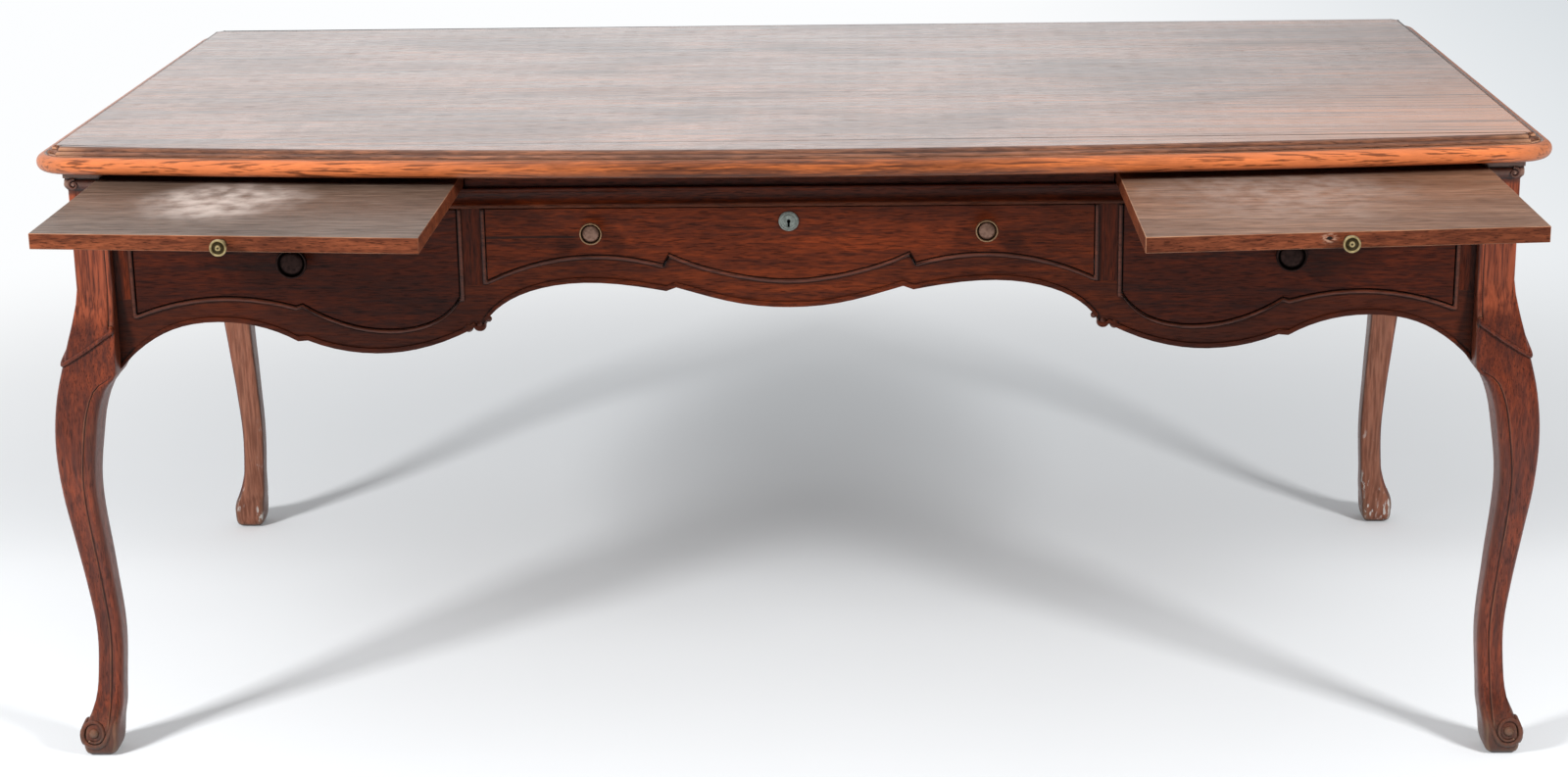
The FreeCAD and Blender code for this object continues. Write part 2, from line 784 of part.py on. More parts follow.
def back_and_side_aprons():
    bay = (size("centre_half") + size("side_start")) / 2
    top = size("frame_top")
    front, back = -size("apron_y"), -size("apron_in_y")
    half = extrude_y(half_apron(top, bay, size("post_in_x")), front, back)
    bead = extrude_y(half_edge_bead(bay, size("post_in_x")), front - size("bead_proud"), front)
    half = half.fuse([bead, tenons()["back"]])
    node(shaped("BackApron", mirrored(both_halves(half), ALONG)), "back_apron")

    post = size("post_in_y")
    low = size("belly_height")
    rise = size("arch_rise")
    root = size("knee_root")

    def side_edge(trace, lift=0):
        spots = [(post * across, low + rise * up + lift) for across, up in side_edge_shares]
        trace.curve(spots[1:4], leave=(1, 0))
        trace.line(*spots[4]).curve(spots[5:] + [(post, root + lift)])
        return trace

    high = size("edge_bead")
    start = low + rise * side_edge_shares[0][1]
    face = side_edge(Trace(0, start)).line(post, top).line(0, top).face()
    ends = [
        Part.LineSegment(Vector(x, 0, z), Vector(x, 0, z + high)).toShape()
        for x, z in ((0, start), (post, root))
    ]
    edges = side_edge(Trace(0, start)).edges + side_edge(Trace(0, start + high), high).edges + ends
    bead_face = Part.Face(Part.Wire(Part.__sortEdges__(edges)))
    front, back = -size("apron_x"), -size("apron_in_x")
    bead = extrude_y(bead_face, front - size("bead_proud"), front)
    board = both_halves(extrude_y(face, front, back).fuse(bead))
    board.rotate(Vector(0, 0, 0), Vector(0, 0, 1), 90)
    tenon = tenons()["side"]
    board = board.fuse([tenon, mirrored(tenon, ALONG)]).removeSplitter()
    node(shaped("SideApron_right", board), "right_side_apron")
    node(shaped("SideApron_left", mirrored(board, ACROSS)), "left_side_apron")


# Side apron: share of the way from its middle to the post, and of arch_rise over the bellies.
side_edge_shares = (
    (0.0, 0.0),
    (0.20, 0.03),
    (0.34, 0.115),
    (0.42, 0.195),
    (0.45, 0.184),
    (0.56, 0.391),
    (0.70, 0.471),
    (0.83, 0.374),
    (0.92, 0.144),
)


# Inside of the frame

def inside_frame():
    inner_y = ("-apron_in_y", "apron_in_y")
    for hand, side in (("left", -1), ("right", 1)):
        partition = box(
            f"Partition_{hand}",
            ("centre_half", "partition_out"),
            inner_y,
            ("side_floor - run_gap - runner_high", "frame_top"),
            side,
        )
        node(partition, f"{hand}_partition")
        under = ("side_floor - run_gap - runner_high", "side_floor - run_gap")
        inner_x = ("partition_out", "side_start + runner_wide")
        outer_x = ("side_end - runner_wide", "post_in_x")
        runners = [
            box(f"Runner_in_{hand}", inner_x, inner_y, under, side),
            box(f"Runner_out_{hand}", outer_x, inner_y, under, side),
        ]
        node(group(f"Runners_{hand}", runners), f"{hand}_drawer_runners")
        beside = ("side_floor - run_gap", "side_floor - run_gap + guide_high")
        guides = [
            box(f"Guide_in_{hand}", ("partition_out", "side_start"), inner_y, beside, side),
            box(f"Guide_out_{hand}", ("side_end", "post_in_x"), inner_y, beside, side),
        ]
        node(group(f"Guides_{hand}", guides), f"{hand}_drawer_guides")
        carriers = [
            box(f"Carrier_in_{hand}", inner_x, inner_y, ("frieze_low", "slot_floor"), side),
            box(f"Carrier_out_{hand}", outer_x, inner_y, ("frieze_low", "slot_floor"), side),
        ]
        node(group(f"Carriers_{hand}", carriers), f"{hand}_slide_runners")
        kickers = [
            box(f"Kicker_in_{hand}", inner_x, inner_y, ("slot_top", "frame_top"), side),
            box(f"Kicker_out_{hand}", outer_x, inner_y, ("slot_top", "frame_top"), side),
        ]
        node(group(f"Kickers_{hand}", kickers), f"{hand}_slide_kickers")
    across = ("centre_half - runner_wide", "centre_half")
    under = ("centre_floor - run_gap - runner_high", "centre_floor - run_gap")
    runners = [box(f"Runner_mid_{side}", across, inner_y, under, side) for side in (-1, 1)]
    node(group("Runners_mid", runners), "centre_drawer_runners")
    above = ("frieze_low", "slot_floor")
    kickers = [box(f"Kicker_mid_{side}", across, inner_y, above, side) for side in (-1, 1)]
    node(group("Kickers_mid", kickers), "centre_drawer_kickers")
    buttons = []
    rows = {
        "front": ("-apron_in_y", "button_reach - apron_in_y"),
        "back": ("apron_in_y - button_reach", "apron_in_y"),
    }
    for row, along in rows.items():
        for count, share in enumerate(button_shares):
            middle = f"{share} * centre_half"
            across = (f"{middle} - button_long / 2", f"{middle} + button_long / 2")
            buttons.append(box(f"Button_{row}_{count}", across, along, ("slot_top", "frame_top")))
    node(group("Buttons", buttons), "top_buttons")


# Buttons along the front and the back, as shares of the half width between the partitions.
button_shares = (-0.7, 0, 0.7)


# Drawers

def keyhole(front, back):
    """The keyhole's round and its slot, as a tool between two places on Y."""
    radius, slot = size("keyhole_radius"), size("keyhole_slot")
    high = size("escutcheon_z")
    bow = Part.makeCylinder(radius, back - front, Vector(0, front, high), ALONG)
    stem = solid_box(-slot / 2, slot / 2, front, back, high - size("keyhole_drop"), high)
    return bow.fuse(stem)


def drawer(label, low_x, high_x, floor, names=("inner", "outer"), side=1):
    """Sides, back and bottom of one drawer box; the front is drawn apart."""
    low_name, high_name = names
    along = ("-drawer_in_y", "box_back_y")
    up = (floor, "box_top")
    groove_z = (f"{floor} + bottom_rise", f"{floor} + bottom_rise + bottom_thick")
    spans = {
        low_name: (low_x, f"{low_x} + box_board"),
        high_name: (f"{high_x} - box_board", high_x),
    }
    grooves = {
        low_name: (f"{low_x} + box_board - groove_deep", f"{low_x} + box_board + cut_overrun"),
        high_name: (f"{high_x} - box_board - cut_overrun", f"{high_x} - box_board + groove_deep"),
    }
    for name, across in spans.items():
        board = box(f"{label}_{name}", across, along, up, side)
        groove = box(f"{label}_{name}_groove", grooves[name], along, groove_z, side)
        node(cut(f"{label}_{name}_cut", board, [groove]), f"{label}_{name}_side")
    inside = (f"{low_x} + box_board", f"{high_x} - box_board")
    back = box(
        f"{label}_back",
        inside,
        ("box_back_y - box_board", "box_back_y"),
        (groove_z[1], "box_top - box_drop"),
        side,
    )
    node(back, f"{label}_back")
    bottom = box(
        f"{label}_bottom",
        (f"{low_x} + box_board - groove_deep", f"{high_x} - box_board + groove_deep"),
        ("-drawer_in_y - groove_deep", "box_back_y"),
        groove_z,
        side,
    )
    node(bottom, f"{label}_bottom")


def drawer_groove(low_x, high_x, floor):
    """The groove in the back of a drawer front."""
    back = -size("drawer_in_y")
    low = size(floor) + size("bottom_rise")
    inset = size("box_board") - size("groove_deep")
    return solid_box(
        low_x + inset,
        high_x - inset,
        back - size("groove_deep"),
        back + size("cut_overrun"),
        low,
        low + size("bottom_thick"),
    )


def drawers():
    front, back = -size("drawer_y"), -size("drawer_in_y")
    gap = size("drawer_gap")
    half = size("centre_half") - gap
    centre = both_halves(extrude_y(centre_front_face(), front, back))
    pocket = solid_box(
        -size("lock_wide") / 2,
        size("lock_wide") / 2,
        -size("lock_y"),
        back,
        size("drawer_top") - size("lock_high"),
        size("drawer_top"),
    )
    centre = centre.cut([pocket, keyhole(front, back), drawer_groove(-half, half, "centre_floor")])
    node(shaped("CentreFront", centre), "centre_drawer_front")
    wide = ("drawer_gap - centre_half", "centre_half - drawer_gap")
    drawer("centre_drawer", *wide, "centre_floor", ("left", "right"))

    low_x, high_x = size("side_start") + gap, size("side_end") - gap
    side_front = extrude_y(side_front_face(), front, back)
    side_front = side_front.cut(drawer_groove(low_x, high_x, "side_floor"))
    for hand, side in (("left", -1), ("right", 1)):
        piece = side_front if side > 0 else mirrored(side_front, ACROSS)
        node(shaped(f"Front_{hand}", piece), f"{hand}_drawer_front")
        wide = ("side_start + drawer_gap", "side_end - drawer_gap")
        drawer(f"{hand}_drawer", *wide, "side_floor", side=side)


# Knobs, turned: share of the radius and share of the reach.
dished_knob_shares = (
    (0.55, 0.0),
    (0.55, 0.10),
    (0.34, 0.18),
    (0.34, 0.42),
    (0.62, 0.60),
    (1.0, 0.78),
    (1.0, 0.92),
    (0.90, 1.0),
    (0.80, 0.98),
    (0.66, 0.84),
    (0.34, 0.82),
    (0.26, 0.94),
    (0.0, 0.98),
)
ringed_knob_shares = (
    (0.50, 0.0),
    (0.50, 0.08),
    (0.40, 0.16),
    (0.40, 0.40),
    (0.70, 0.62),
    (1.0, 0.80),
    (1.0, 0.92),
    (0.92, 1.0),
    (0.82, 1.0),
    (0.76, 0.90),
    (0.70, 0.94),
    (0.36, 1.0),
    (0.0, 1.0),
)


def turned(shares, radius, reach):
    """A knob turned about -Y, with its seat at the origin."""
    first, *rest = shares
    trace = Trace(0, 0)
    trace.line(first[0] * radius, first[1] * reach)
    for across, along in rest:
        trace.line(across * radius, along * reach)
    knob = trace.face().revolve(Vector(0, 0, 0), Vector(0, 0, 1), 360)
    knob.rotate(Vector(0, 0, 0), ACROSS, 90)
    return knob


def knob_at(shares, kind, x, y, z):
    knob = turned(shares, size(f"{kind}_knob_radius"), size(f"{kind}_knob_reach"))
    knob.translate(Vector(x, y, z))
    return knob


def knobs():
    face = -size("drawer_y")
    pair = [
        knob_at(ringed_knob_shares, "centre", side * size("centre_knob_x"), face, size("centre_knob_z"))
        for side in (-1, 1)
    ]
    node(shaped("CentreKnobs", Part.makeCompound(pair)), "centre_drawer_knobs")
    for hand, side in (("left", -1), ("right", 1)):
        knob = knob_at(ringed_knob_shares, "side", side * size("side_mid_x"), face, size("side_knob_z"))
        node(shaped(f"DrawerKnob_{hand}", knob), f"{hand}_drawer_knob")
        middle = size("slide_low") + size("slide_thick") / 2
        front = -size("slide_front") - size(f"{hand}_pull")
        knob = knob_at(dished_knob_shares, "slide", side * size("slide_mid_x"), front, middle)
        node(shaped(f"SlideKnob_{hand}", knob), f"{hand}_slide_knob")


def escutcheon_and_lock():
    plate = Part.makeCylinder(
        size("escutcheon_radius"),
        size("escutcheon_thick"),
        Vector(0, -size("drawer_y"), size("escutcheon_z")),
        Vector(0, -1, 0),
    )
    front = -size("drawer_y") - size("escutcheon_thick") - size("cut_overrun")
    plate = plate.cut(keyhole(front, -size("drawer_y") + size("cut_overrun")))
    node(shaped("Escutcheon", plate), "escutcheon")

    case = box(
        "LockBlock",
        ("-lock_wide / 2", "lock_wide / 2"),
        ("-lock_y", "-drawer_in_y"),
        ("drawer_top - lock_high", "drawer_top"),
    )
    channel = box(
        "BoltChannel",
        ("-bolt_way", "bolt_way"),
        ("-bolt_y - bolt_gap", "bolt_thick + bolt_gap - bolt_y"),
        ("drawer_top - bolt_long - bolt_gap", "drawer_top + cut_overrun"),
    )
    node(cut("LockCase", case, [channel]), "lock_case")
    bolt = box(
        "LockBolt",
        ("-bolt_wide / 2", "bolt_wide / 2"),
        ("-bolt_y", "bolt_thick - bolt_y"),
        ("drawer_top - bolt_long", "drawer_top"),
    )
    node(bolt, "lock_bolt")


# Writing slides: their front edges slant back with the bow of the top, and the knob has a flat seat.

def slide_board(hand, side):
    knob_face = -size("slide_front") - size(f"{hand}_pull")
    front = knob_face - size("slide_seat_deep")
    low, thick, half_slant = size("slide_low"), size("slide_thick"), size("slide_slant") / 2
    corners = [
        Vector(side * size("slide_in_x"), front - half_slant, low),
        Vector(side * size("slide_out_x"), front + half_slant, low),
        Vector(side * size("slide_out_x"), knob_face + size("slide_length"), low),
        Vector(side * size("slide_in_x"), knob_face + size("slide_length"), low),
    ]
    board = Part.Face(Part.makePolygon(corners + corners[:1])).extrude(Vector(0, 0, thick))
    seat = Part.makeCylinder(
        size("slide_seat_radius"),
        size("cut_overrun"),
        Vector(side * size("slide_mid_x"), knob_face, low + thick / 2),
        Vector(0, -1, 0),
    )
    return board.cut(seat)


def slides():
    for hand, side in (("left", -1), ("right", 1)):
        node(shaped(f"Slide_{hand}", slide_board(hand, side)), f"{hand}_slide_board")
        near = f"full_pull - {hand}_pull - apron_in_y + stop_gap"
        stop = box(
            f"Stop_{hand}",
            ("slide_mid_x - stop_wide / 2", "slide_mid_x + stop_wide / 2"),
            (near, f"{near} + stop_deep"),
            ("slide_low - stop_high", "slide_low"),
            side,
        )
        node(stop, f"{hand}_slide_stop")


desk_top()
legs()
front_frame()
upper_rails()
back_and_side_aprons()
inside_frame()
drawers()
knobs()
escutcheon_and_lock()
slides()
doc.recompute()

for item in doc.Objects:
    if "Invalid" in item.State or "Error" in item.State:
        raise RuntimeError(f"{item.Label} did not compute: {item.State}")
for item in NODES:
    if item.Shape.isNull() or not item.Shape.isValid():
        raise RuntimeError(f"{item.Label} has no valid shape")

os.makedirs("parts", exist_ok=True)
for item in NODES:
    item.Shape.exportStep(f"parts/{item.Label}.step")
print(len(NODES), "sub-parts written")
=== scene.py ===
# %% [markdown]
# # A writing desk in deep red-brown wood
# A CAD model gives this desk its solids, its sizes and its moving bodies. This lesson dresses it: each
# cell makes one kind of piece or one finish. Everything is in metres, with X to the right, the front
# towards -Y and Z up, so a piece goes where its solid already is.

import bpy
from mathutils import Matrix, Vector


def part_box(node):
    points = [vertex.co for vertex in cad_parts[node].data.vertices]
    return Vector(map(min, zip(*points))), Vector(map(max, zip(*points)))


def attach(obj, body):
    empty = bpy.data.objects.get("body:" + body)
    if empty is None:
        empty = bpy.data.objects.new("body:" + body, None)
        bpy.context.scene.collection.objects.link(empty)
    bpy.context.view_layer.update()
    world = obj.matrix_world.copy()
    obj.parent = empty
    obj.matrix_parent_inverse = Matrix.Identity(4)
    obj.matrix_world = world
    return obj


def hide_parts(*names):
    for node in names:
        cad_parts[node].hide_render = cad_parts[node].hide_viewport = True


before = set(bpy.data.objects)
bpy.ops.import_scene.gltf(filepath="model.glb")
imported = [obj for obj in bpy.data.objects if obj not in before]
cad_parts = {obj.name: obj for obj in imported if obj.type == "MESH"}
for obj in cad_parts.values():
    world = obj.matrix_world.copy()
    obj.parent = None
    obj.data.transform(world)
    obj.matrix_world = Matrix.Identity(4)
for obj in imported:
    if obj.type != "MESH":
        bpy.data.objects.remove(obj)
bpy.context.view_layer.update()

# %% [markdown]
# ## Measures that come back
# The desk's own middle lies behind the origin, because the two writing slides are drawn out at the
# front. The legs' boxes tell where it is, and the top's box tells how far its front edge bows out. A
# cabinetmaker thinks in millimetres, so MM turns them into metres.

# %% Measure the desk
from math import cos, pi, radians, sin

import bmesh
import bpy
import numpy
from mathutils import Matrix, Vector

MM = 0.001
scene = bpy.context.scene
OVERHANG = 35 * MM
top_low, top_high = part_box("desk_top")
middle_y = (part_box("front_left_leg")[0].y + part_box("back_left_leg")[1].y) / 2
half_width = (top_high.x - top_low.x) / 2
half_depth = top_high.y - middle_y
bow = middle_y - half_depth - top_low.y
post_x, post_y = half_width - OVERHANG, half_depth - OVERHANG
print(f"top {2 * half_width:.2f} x {2 * half_depth:.2f} m, bow {bow:.3f} m, middle at y {middle_y:.3f}")

# %% [markdown]
# ## The camera
# The photograph was taken from a little over eye level, a few steps in front of the desk, with a
# short telephoto lens. Three angles say where the camera looks: a small turn to the left, a tilt down
# and a slight roll. With shift_y the picture's middle lies a little below the lens's own axis.

# %% Place the camera
def placed(name, data):
    """A new object in the scene."""
    thing = bpy.data.objects.new(name, data)
    scene.collection.objects.link(thing)
    return thing


standpoint = (0.098, -3.393, 1.417)
turn, tilt, roll = radians(1.92), radians(15.15), radians(-0.89)
ahead = Vector((-sin(turn) * cos(tilt), cos(turn) * cos(tilt), -sin(tilt)))
across = Vector((cos(turn), sin(turn), 0))
upward = across.cross(ahead)
rolled_across = cos(roll) * across + sin(roll) * upward
rolled_upward = cos(roll) * upward - sin(roll) * across
lens = bpy.data.cameras.new("Camera")
lens.lens = 61.83
lens.sensor_width = 36
lens.shift_y = -0.05
camera = placed("Camera", lens)
facing = Matrix((rolled_across, rolled_upward, -ahead)).transposed().to_4x4()
camera.matrix_world = Matrix.Translation(standpoint) @ facing
scene.camera = camera
print("camera at", tuple(round(x, 3) for x in camera.location))

# %% [markdown]
# ## Sums on node sockets
# A procedural finish is a sum of patterns. Node by node it is long and hard to read, so this class
# wraps one output socket, and a Python sum on it adds the Math node. Its method node adds any other
# kind, from the values or links of its sockets. A colour is red, green and blue.

# %% Wrap a node's socket
class Socket:
    def __init__(self, tree, plug=None):
        self.tree = tree
        self.plug = plug

    def node(self, kind, sockets={}, out=0, **settings):
        made = self.tree.nodes.new(kind)
        for name, value in settings.items():
            setattr(made, name, value)
        for name, value in sockets.items():
            if isinstance(value, Socket):
                self.tree.links.new(value.plug, made.inputs[name])
            else:
                plug = made.inputs[name]
                plug.default_value = (*value, 1) if plug.type == "RGBA" else value
        return Socket(self.tree, made.outputs[out] if len(made.outputs) else None)

    def sum(self, operation, a, b):
        return self.node("ShaderNodeMath", {0: a, 1: b}, operation=operation)

    def __add__(self, other):
        return self.sum("ADD", self, other)

    __radd__ = __add__

    def __sub__(self, other):
        return self.sum("SUBTRACT", self, other)

    def __rsub__(self, other):
        return self.sum("SUBTRACT", other, self)

    def __mul__(self, other):
        return self.sum("MULTIPLY", self, other)

    __rmul__ = __mul__

    def absolute(self):
        return self.sum("ABSOLUTE", self, 0)

    def between(self, low, high):
        """0 below low, 1 above high and a soft step from one to the other."""
        sockets = {"Value": self, "From Min": low, "From Max": high}
        return self.node("ShaderNodeMapRange", sockets, interpolation_type="SMOOTHSTEP")

    def tint(self, under, over):
        """Goes from one colour to another as this value goes from 0 to 1."""
        return self.node("ShaderNodeMix", {0: self, 6: under, 7: over}, 2, data_type="RGBA")

    def noise(self, scale, detail=2.0, distortion=0.0):
        """Cloudy noise read at this vector; scale is in features to the metre."""
        sockets = {"Vector": self, "Scale": scale, "Detail": detail, "Distortion": distortion}
        return self.node("ShaderNodeTexNoise", sockets)

    def stretch(self, scale):
        return self.node("ShaderNodeMapping", {"Vector": self, "Scale": scale})

    def part(self, axis):
        """One coordinate of this vector: "X", "Y" or "Z"."""
        return self.node("ShaderNodeSeparateXYZ", {"Vector": self}, out=axis)

    def attribute(self, name):
        return self.node("ShaderNodeAttribute", out="Fac", attribute_name=name)

    def rays(self, *kinds):
        """1 for rays of these kinds and 0 for all others."""
        return sum(self.node("ShaderNodeLightPath", out=f"Is {kind} Ray") for kind in kinds).between(0, 1)


def darker(tone):
    """A quarter of a colour, for what lies deep in it."""
    return tuple(0.25 * part for part in tone)


print("Socket sums ready")

# %% [markdown]
# ## Light and floor
# A pale floor runs far behind the desk, so it fills the picture. Two square lamps stand in front, left
# and right, well above eye level: the shadows of the feet in the photograph point back at them. The
# sky lights softly from above, and it is pale where the camera or the waxed top sees it. To the right
# it gets darker, and so does the sheen on that end of the top. The lamps themselves don't mirror in
# the wax, or the whole top would turn white from behind. The floor is darker for bounced light than
# for the camera, which keeps the shade under the slides and behind the apron.

# %% Light the studio
scene.view_settings.view_transform = "Standard"
world = bpy.data.worlds.new("Studio")
world.use_nodes = True
scene.world = world
sky = Socket(world.node_tree)
world.node_tree.nodes.clear()
seen = sky.rays("Camera", "Glossy", "Transmission")
heading = sky.node("ShaderNodeTexCoord", out="Generated")
rightward = heading.part("X").between(-0.02, 0.38)
climb = heading.part("Z")
above, level = climb.between(0.30, 0.95), 1 - climb.between(0.14, 0.22)
soft_light = 0.04 + 0.62 * above
seen_light = seen * (0.82 + 0.28 * level) * (1 - 0.70 * rightward)
sockets = {"Color": (0.97, 0.985, 1.0), "Strength": soft_light + seen_light}
backdrop = sky.node("ShaderNodeBackground", sockets)
sky.node("ShaderNodeOutputWorld", {"Surface": backdrop})

LAMP_SIDE = 0.6
LAMP_AIM = Vector((0.0, 0.2, 0.4))
for hand, x, watts in (("left", -2.6, 136), ("right", 2.6, 106)):
    lamp = bpy.data.lights.new(f"Softbox_{hand}", "AREA")
    lamp.shape = "RECTANGLE"
    lamp.size = lamp.size_y = LAMP_SIDE
    lamp.energy = watts
    thing = placed(lamp.name, lamp)
    thing.location = (x, -2.2, 2.05)
    thing.rotation_euler = (LAMP_AIM - thing.location).to_track_quat("-Z", "Y").to_euler()
    thing.visible_glossy = False

# %% Lay the floor
def new_finish(name):
    """An empty material, and a socket to build its nodes from."""
    material = bpy.data.materials.new(name)
    material.use_nodes = True
    material.node_tree.nodes.clear()
    return material, Socket(material.node_tree)


def close_finish(start, **sockets):
    """Ends a material in one Principled shader; _ stands for a space in a socket's name."""
    named = {name.replace("_", " "): value for name, value in sockets.items()}
    shader = start.node("ShaderNodeBsdfPrincipled", named)
    start.node("ShaderNodeOutputMaterial", {"Surface": shader})


HALF_FLOOR = 20
floor_finish, start = new_finish("Pale_paper")
spot = start.node("ShaderNodeTexCoord", out="Object")
dust = spot.noise(1.5, 3).between(0.3, 0.8)
paper = dust.tint((0.87, 0.89, 0.91), (0.89, 0.91, 0.93))
looked_at = start.rays("Camera", "Glossy")
paper = looked_at.tint((0.34, 0.34, 0.34), paper)
shade = start.node("ShaderNodeBsdfPrincipled", {"Base Color": paper, "Roughness": 0.9})
far_off = start.node("ShaderNodeVectorMath", {"Vector": spot}, "Value", operation="LENGTH")
# Far off, the floor glows for the camera and for reflections as a pale backdrop. Near the desk a little of
# that glow lightens its shadows. The glow is painted darker towards the right: painted shade.
glow_tone = spot.part("X").between(0.2, 3.0).tint((0.98, 0.99, 1.0), (0.68, 0.72, 0.75))
glow = start.node("ShaderNodeEmission", {"Color": glow_tone})
fade = (0.12 + 0.88 * far_off.between(1.2, 2.9)) * looked_at
mixed = start.node("ShaderNodeMixShader", {0: fade, 1: shade, 2: glow})
start.node("ShaderNodeOutputMaterial", {"Surface": mixed})
bm = bmesh.new()
bmesh.ops.create_grid(bm, x_segments=1, y_segments=1, size=HALF_FLOOR)
floor_mesh = bpy.data.meshes.new("Floor")
bm.to_mesh(floor_mesh)
floor_mesh.materials.append(floor_finish)
floor = placed("Floor", floor_mesh)
print("floor laid")

# %% [markdown]
# ## The wood
# Open-grained wood, stained and waxed. Seen from near it is soft bands of growth along the board,
# short lighter flecks where the rays are cut, and fine dark pores like dashes. Noise that is squeezed
# across the grain and pulled along it gives all three at three scales. Where hands and cloths rub, on
# sharp edges, the stain is thin. Every corner, hollow and gap between two boards is painted nearly
# black: painted shade, which also stands for old wax there. An attribute named wear holds the rubbed
# edges and the hollows, and an Ambient Occlusion node finds the corners.

# %% Mix the wood
def pulled(grain, share):
    """How much of a pattern's scale is left along the grain."""
    return [share if axis == grain else 1 for axis in "xyz"]


def figure(start, grain, coarse=1.0, straight=1.0):
    """Growth bands, ray flecks and pores along one axis, each from 0 to 1."""
    place = start.node("ShaderNodeTexCoord", out="Object")
    band = place.stretch(pulled(grain, 0.035 / straight)).noise(110 * coarse, 5, 0.2).between(0.30, 0.70)
    fleck = place.stretch(pulled(grain, 0.16 / straight)).noise(300 * coarse, 4, 0.2).between(0.40, 0.66)
    pore = place.stretch(pulled(grain, 0.06 / straight)).noise(900 * coarse, 2).between(0.54, 0.66)
    patch = place.stretch(pulled(grain, 0.4)).noise(9, 3, 0.5).between(0.34, 0.66)
    return place, band, fleck, pore, patch


def wood(
    name, grain, deep, warm, worn, rough=0.42, coat=0.05, coarse=1.0, straight=1.0, extra=None, shine=0.15,
    coat_ior=1.5, uneven=0.2, wax_and_shade=0.90,
):
    """Stained wood; extra may change the colour at a place, from (colour, place, wear)."""
    material, start = new_finish(name)
    place, band, fleck, pore, patch = figure(start, grain, coarse, straight)
    wear = start.attribute("wear")
    corner = 1 - start.node("ShaderNodeAmbientOcclusion", {"Distance": 8 * MM}, "AO", samples=8)
    tone = (0.10 + 0.50 * band + 0.40 * fleck).tint(deep, warm)
    tone = (0.50 * patch).tint(tone, deep)
    tone = (0.65 * pore).tint(tone, darker(deep))
    rub = wear * (0.1 + 1.2 * place.noise(16, 4))
    tone = rub.between(0.25, 1.05).tint(tone, worn)
    if extra:
        tone = extra(tone, place, wear)
    # Painted shade: corners found by Ambient Occlusion and hollows of the mesh darken the stain nearly to
    # black, standing also for old wax there.
    wax_and_shade_mask = corner.between(0.20, 0.70) + (wear * -1).between(0.05, 0.60)
    tone = (wax_and_shade * wax_and_shade_mask.between(0, 1)).tint(tone, (0.009, 0.004, 0.003))
    height = 1 - 0.55 * pore - 0.20 * fleck
    bump = start.node("ShaderNodeBump", {"Strength": 0.35, "Distance": 0.5 * MM, "Height": height})
    close_finish(
        start, Base_Color=tone, Roughness=rough + 0.16 * pore + 0.06 * patch, Normal=bump,
        Specular_IOR_Level=shine, Coat_Weight=coat * (1 - 0.55 * pore - uneven * band),
        Coat_Roughness=0.20, Coat_IOR=coat_ior,
    )
    return material


DEEP, WARM, WORN = (0.026, 0.005, 0.002), (0.185, 0.031, 0.007), (0.24, 0.088, 0.044)
front_wood = wood("Red_brown_wood", "x", DEEP, WARM, WORN)
side_wood = wood("Red_brown_wood_side", "y", DEEP, WARM, WORN)
# The side drawers take a darker copy of the stain: painted shade under the slides.
shaded_drawer_wood = wood("Shaded_drawer_wood", "x", (0.012, 0.002, 0.001), (0.108, 0.017, 0.004), WORN)
# The stiles take a darker copy of the stain with the grain upright; the darker tone is painted shade.
shaded_stile_wood = wood("Red_brown_wood_stile", "z", (0.018, 0.003, 0.001), (0.165, 0.026, 0.006), WORN)
bead_wood = wood(
    "Bead_wood", "x", (0.040, 0.011, 0.006), (0.14, 0.036, 0.017), (0.30, 0.14, 0.09),
    rough=0.34, coat=0.12, shine=0.3,
)
nose_wood = wood("Rubbed_wood", "x", (0.040, 0.010, 0.004), (0.20, 0.052, 0.020), (0.28, 0.12, 0.065))


def with_split(tone, place, wear):
    """An old crack along the grain, from the drawer's left end to its knob."""
    off_line = (place.part("Z") - 0.660 + 1.4 * MM * place.noise(25, 2)).absolute()
    split = (1 - off_line.between(0.9 * MM, 2.0 * MM)) * (1 - place.part("X").between(-0.262, -0.245))
    return (0.85 * split).tint(tone, (0.006, 0.003, 0.002))


def shaded_bays(tone, place, wear):
    """Painted shade: the apron is painted darker under the slides, towards both ends."""
    away = place.part("X").absolute().between(0.34, 0.46)
    return (0.45 * away).tint(tone, (0.020, 0.005, 0.003))


apron_wood = wood("Apron_wood", "x", DEEP, (0.150, 0.026, 0.006), WORN, extra=shaded_bays)
split_wood = wood("Red_brown_wood_split", "x", DEEP, WARM, WORN, extra=with_split)
plain = [(0.15, 0.082, 0.045), (0.30, 0.175, 0.10), (0.38, 0.25, 0.16)]
inner_wood = {axis: wood(f"Plain_wood_{axis}", axis, *plain, rough=0.62, coat=0.0) for axis in "xyz"}
print("red-brown and plain woods mixed")

# %% [markdown]
# ## Where the wear goes
# An edge stands out where the mesh falls away on all sides, and a hollow is where it rises. For each
# point, the slope of its edges against its own normal says which, so the wear follows the real shape.

# %% Note the wear
SMALL = 4e-4  # square metres: a face of a rounding is smaller, a flat of a board larger
TOUCHING = 1e-6


def read(things, name, width, kind=float):
    """One value of every point, edge or corner of a mesh, in rows of this width."""
    values = numpy.zeros(len(things) * width, kind)
    things.foreach_get(name, values)
    return values.reshape(-1, width)


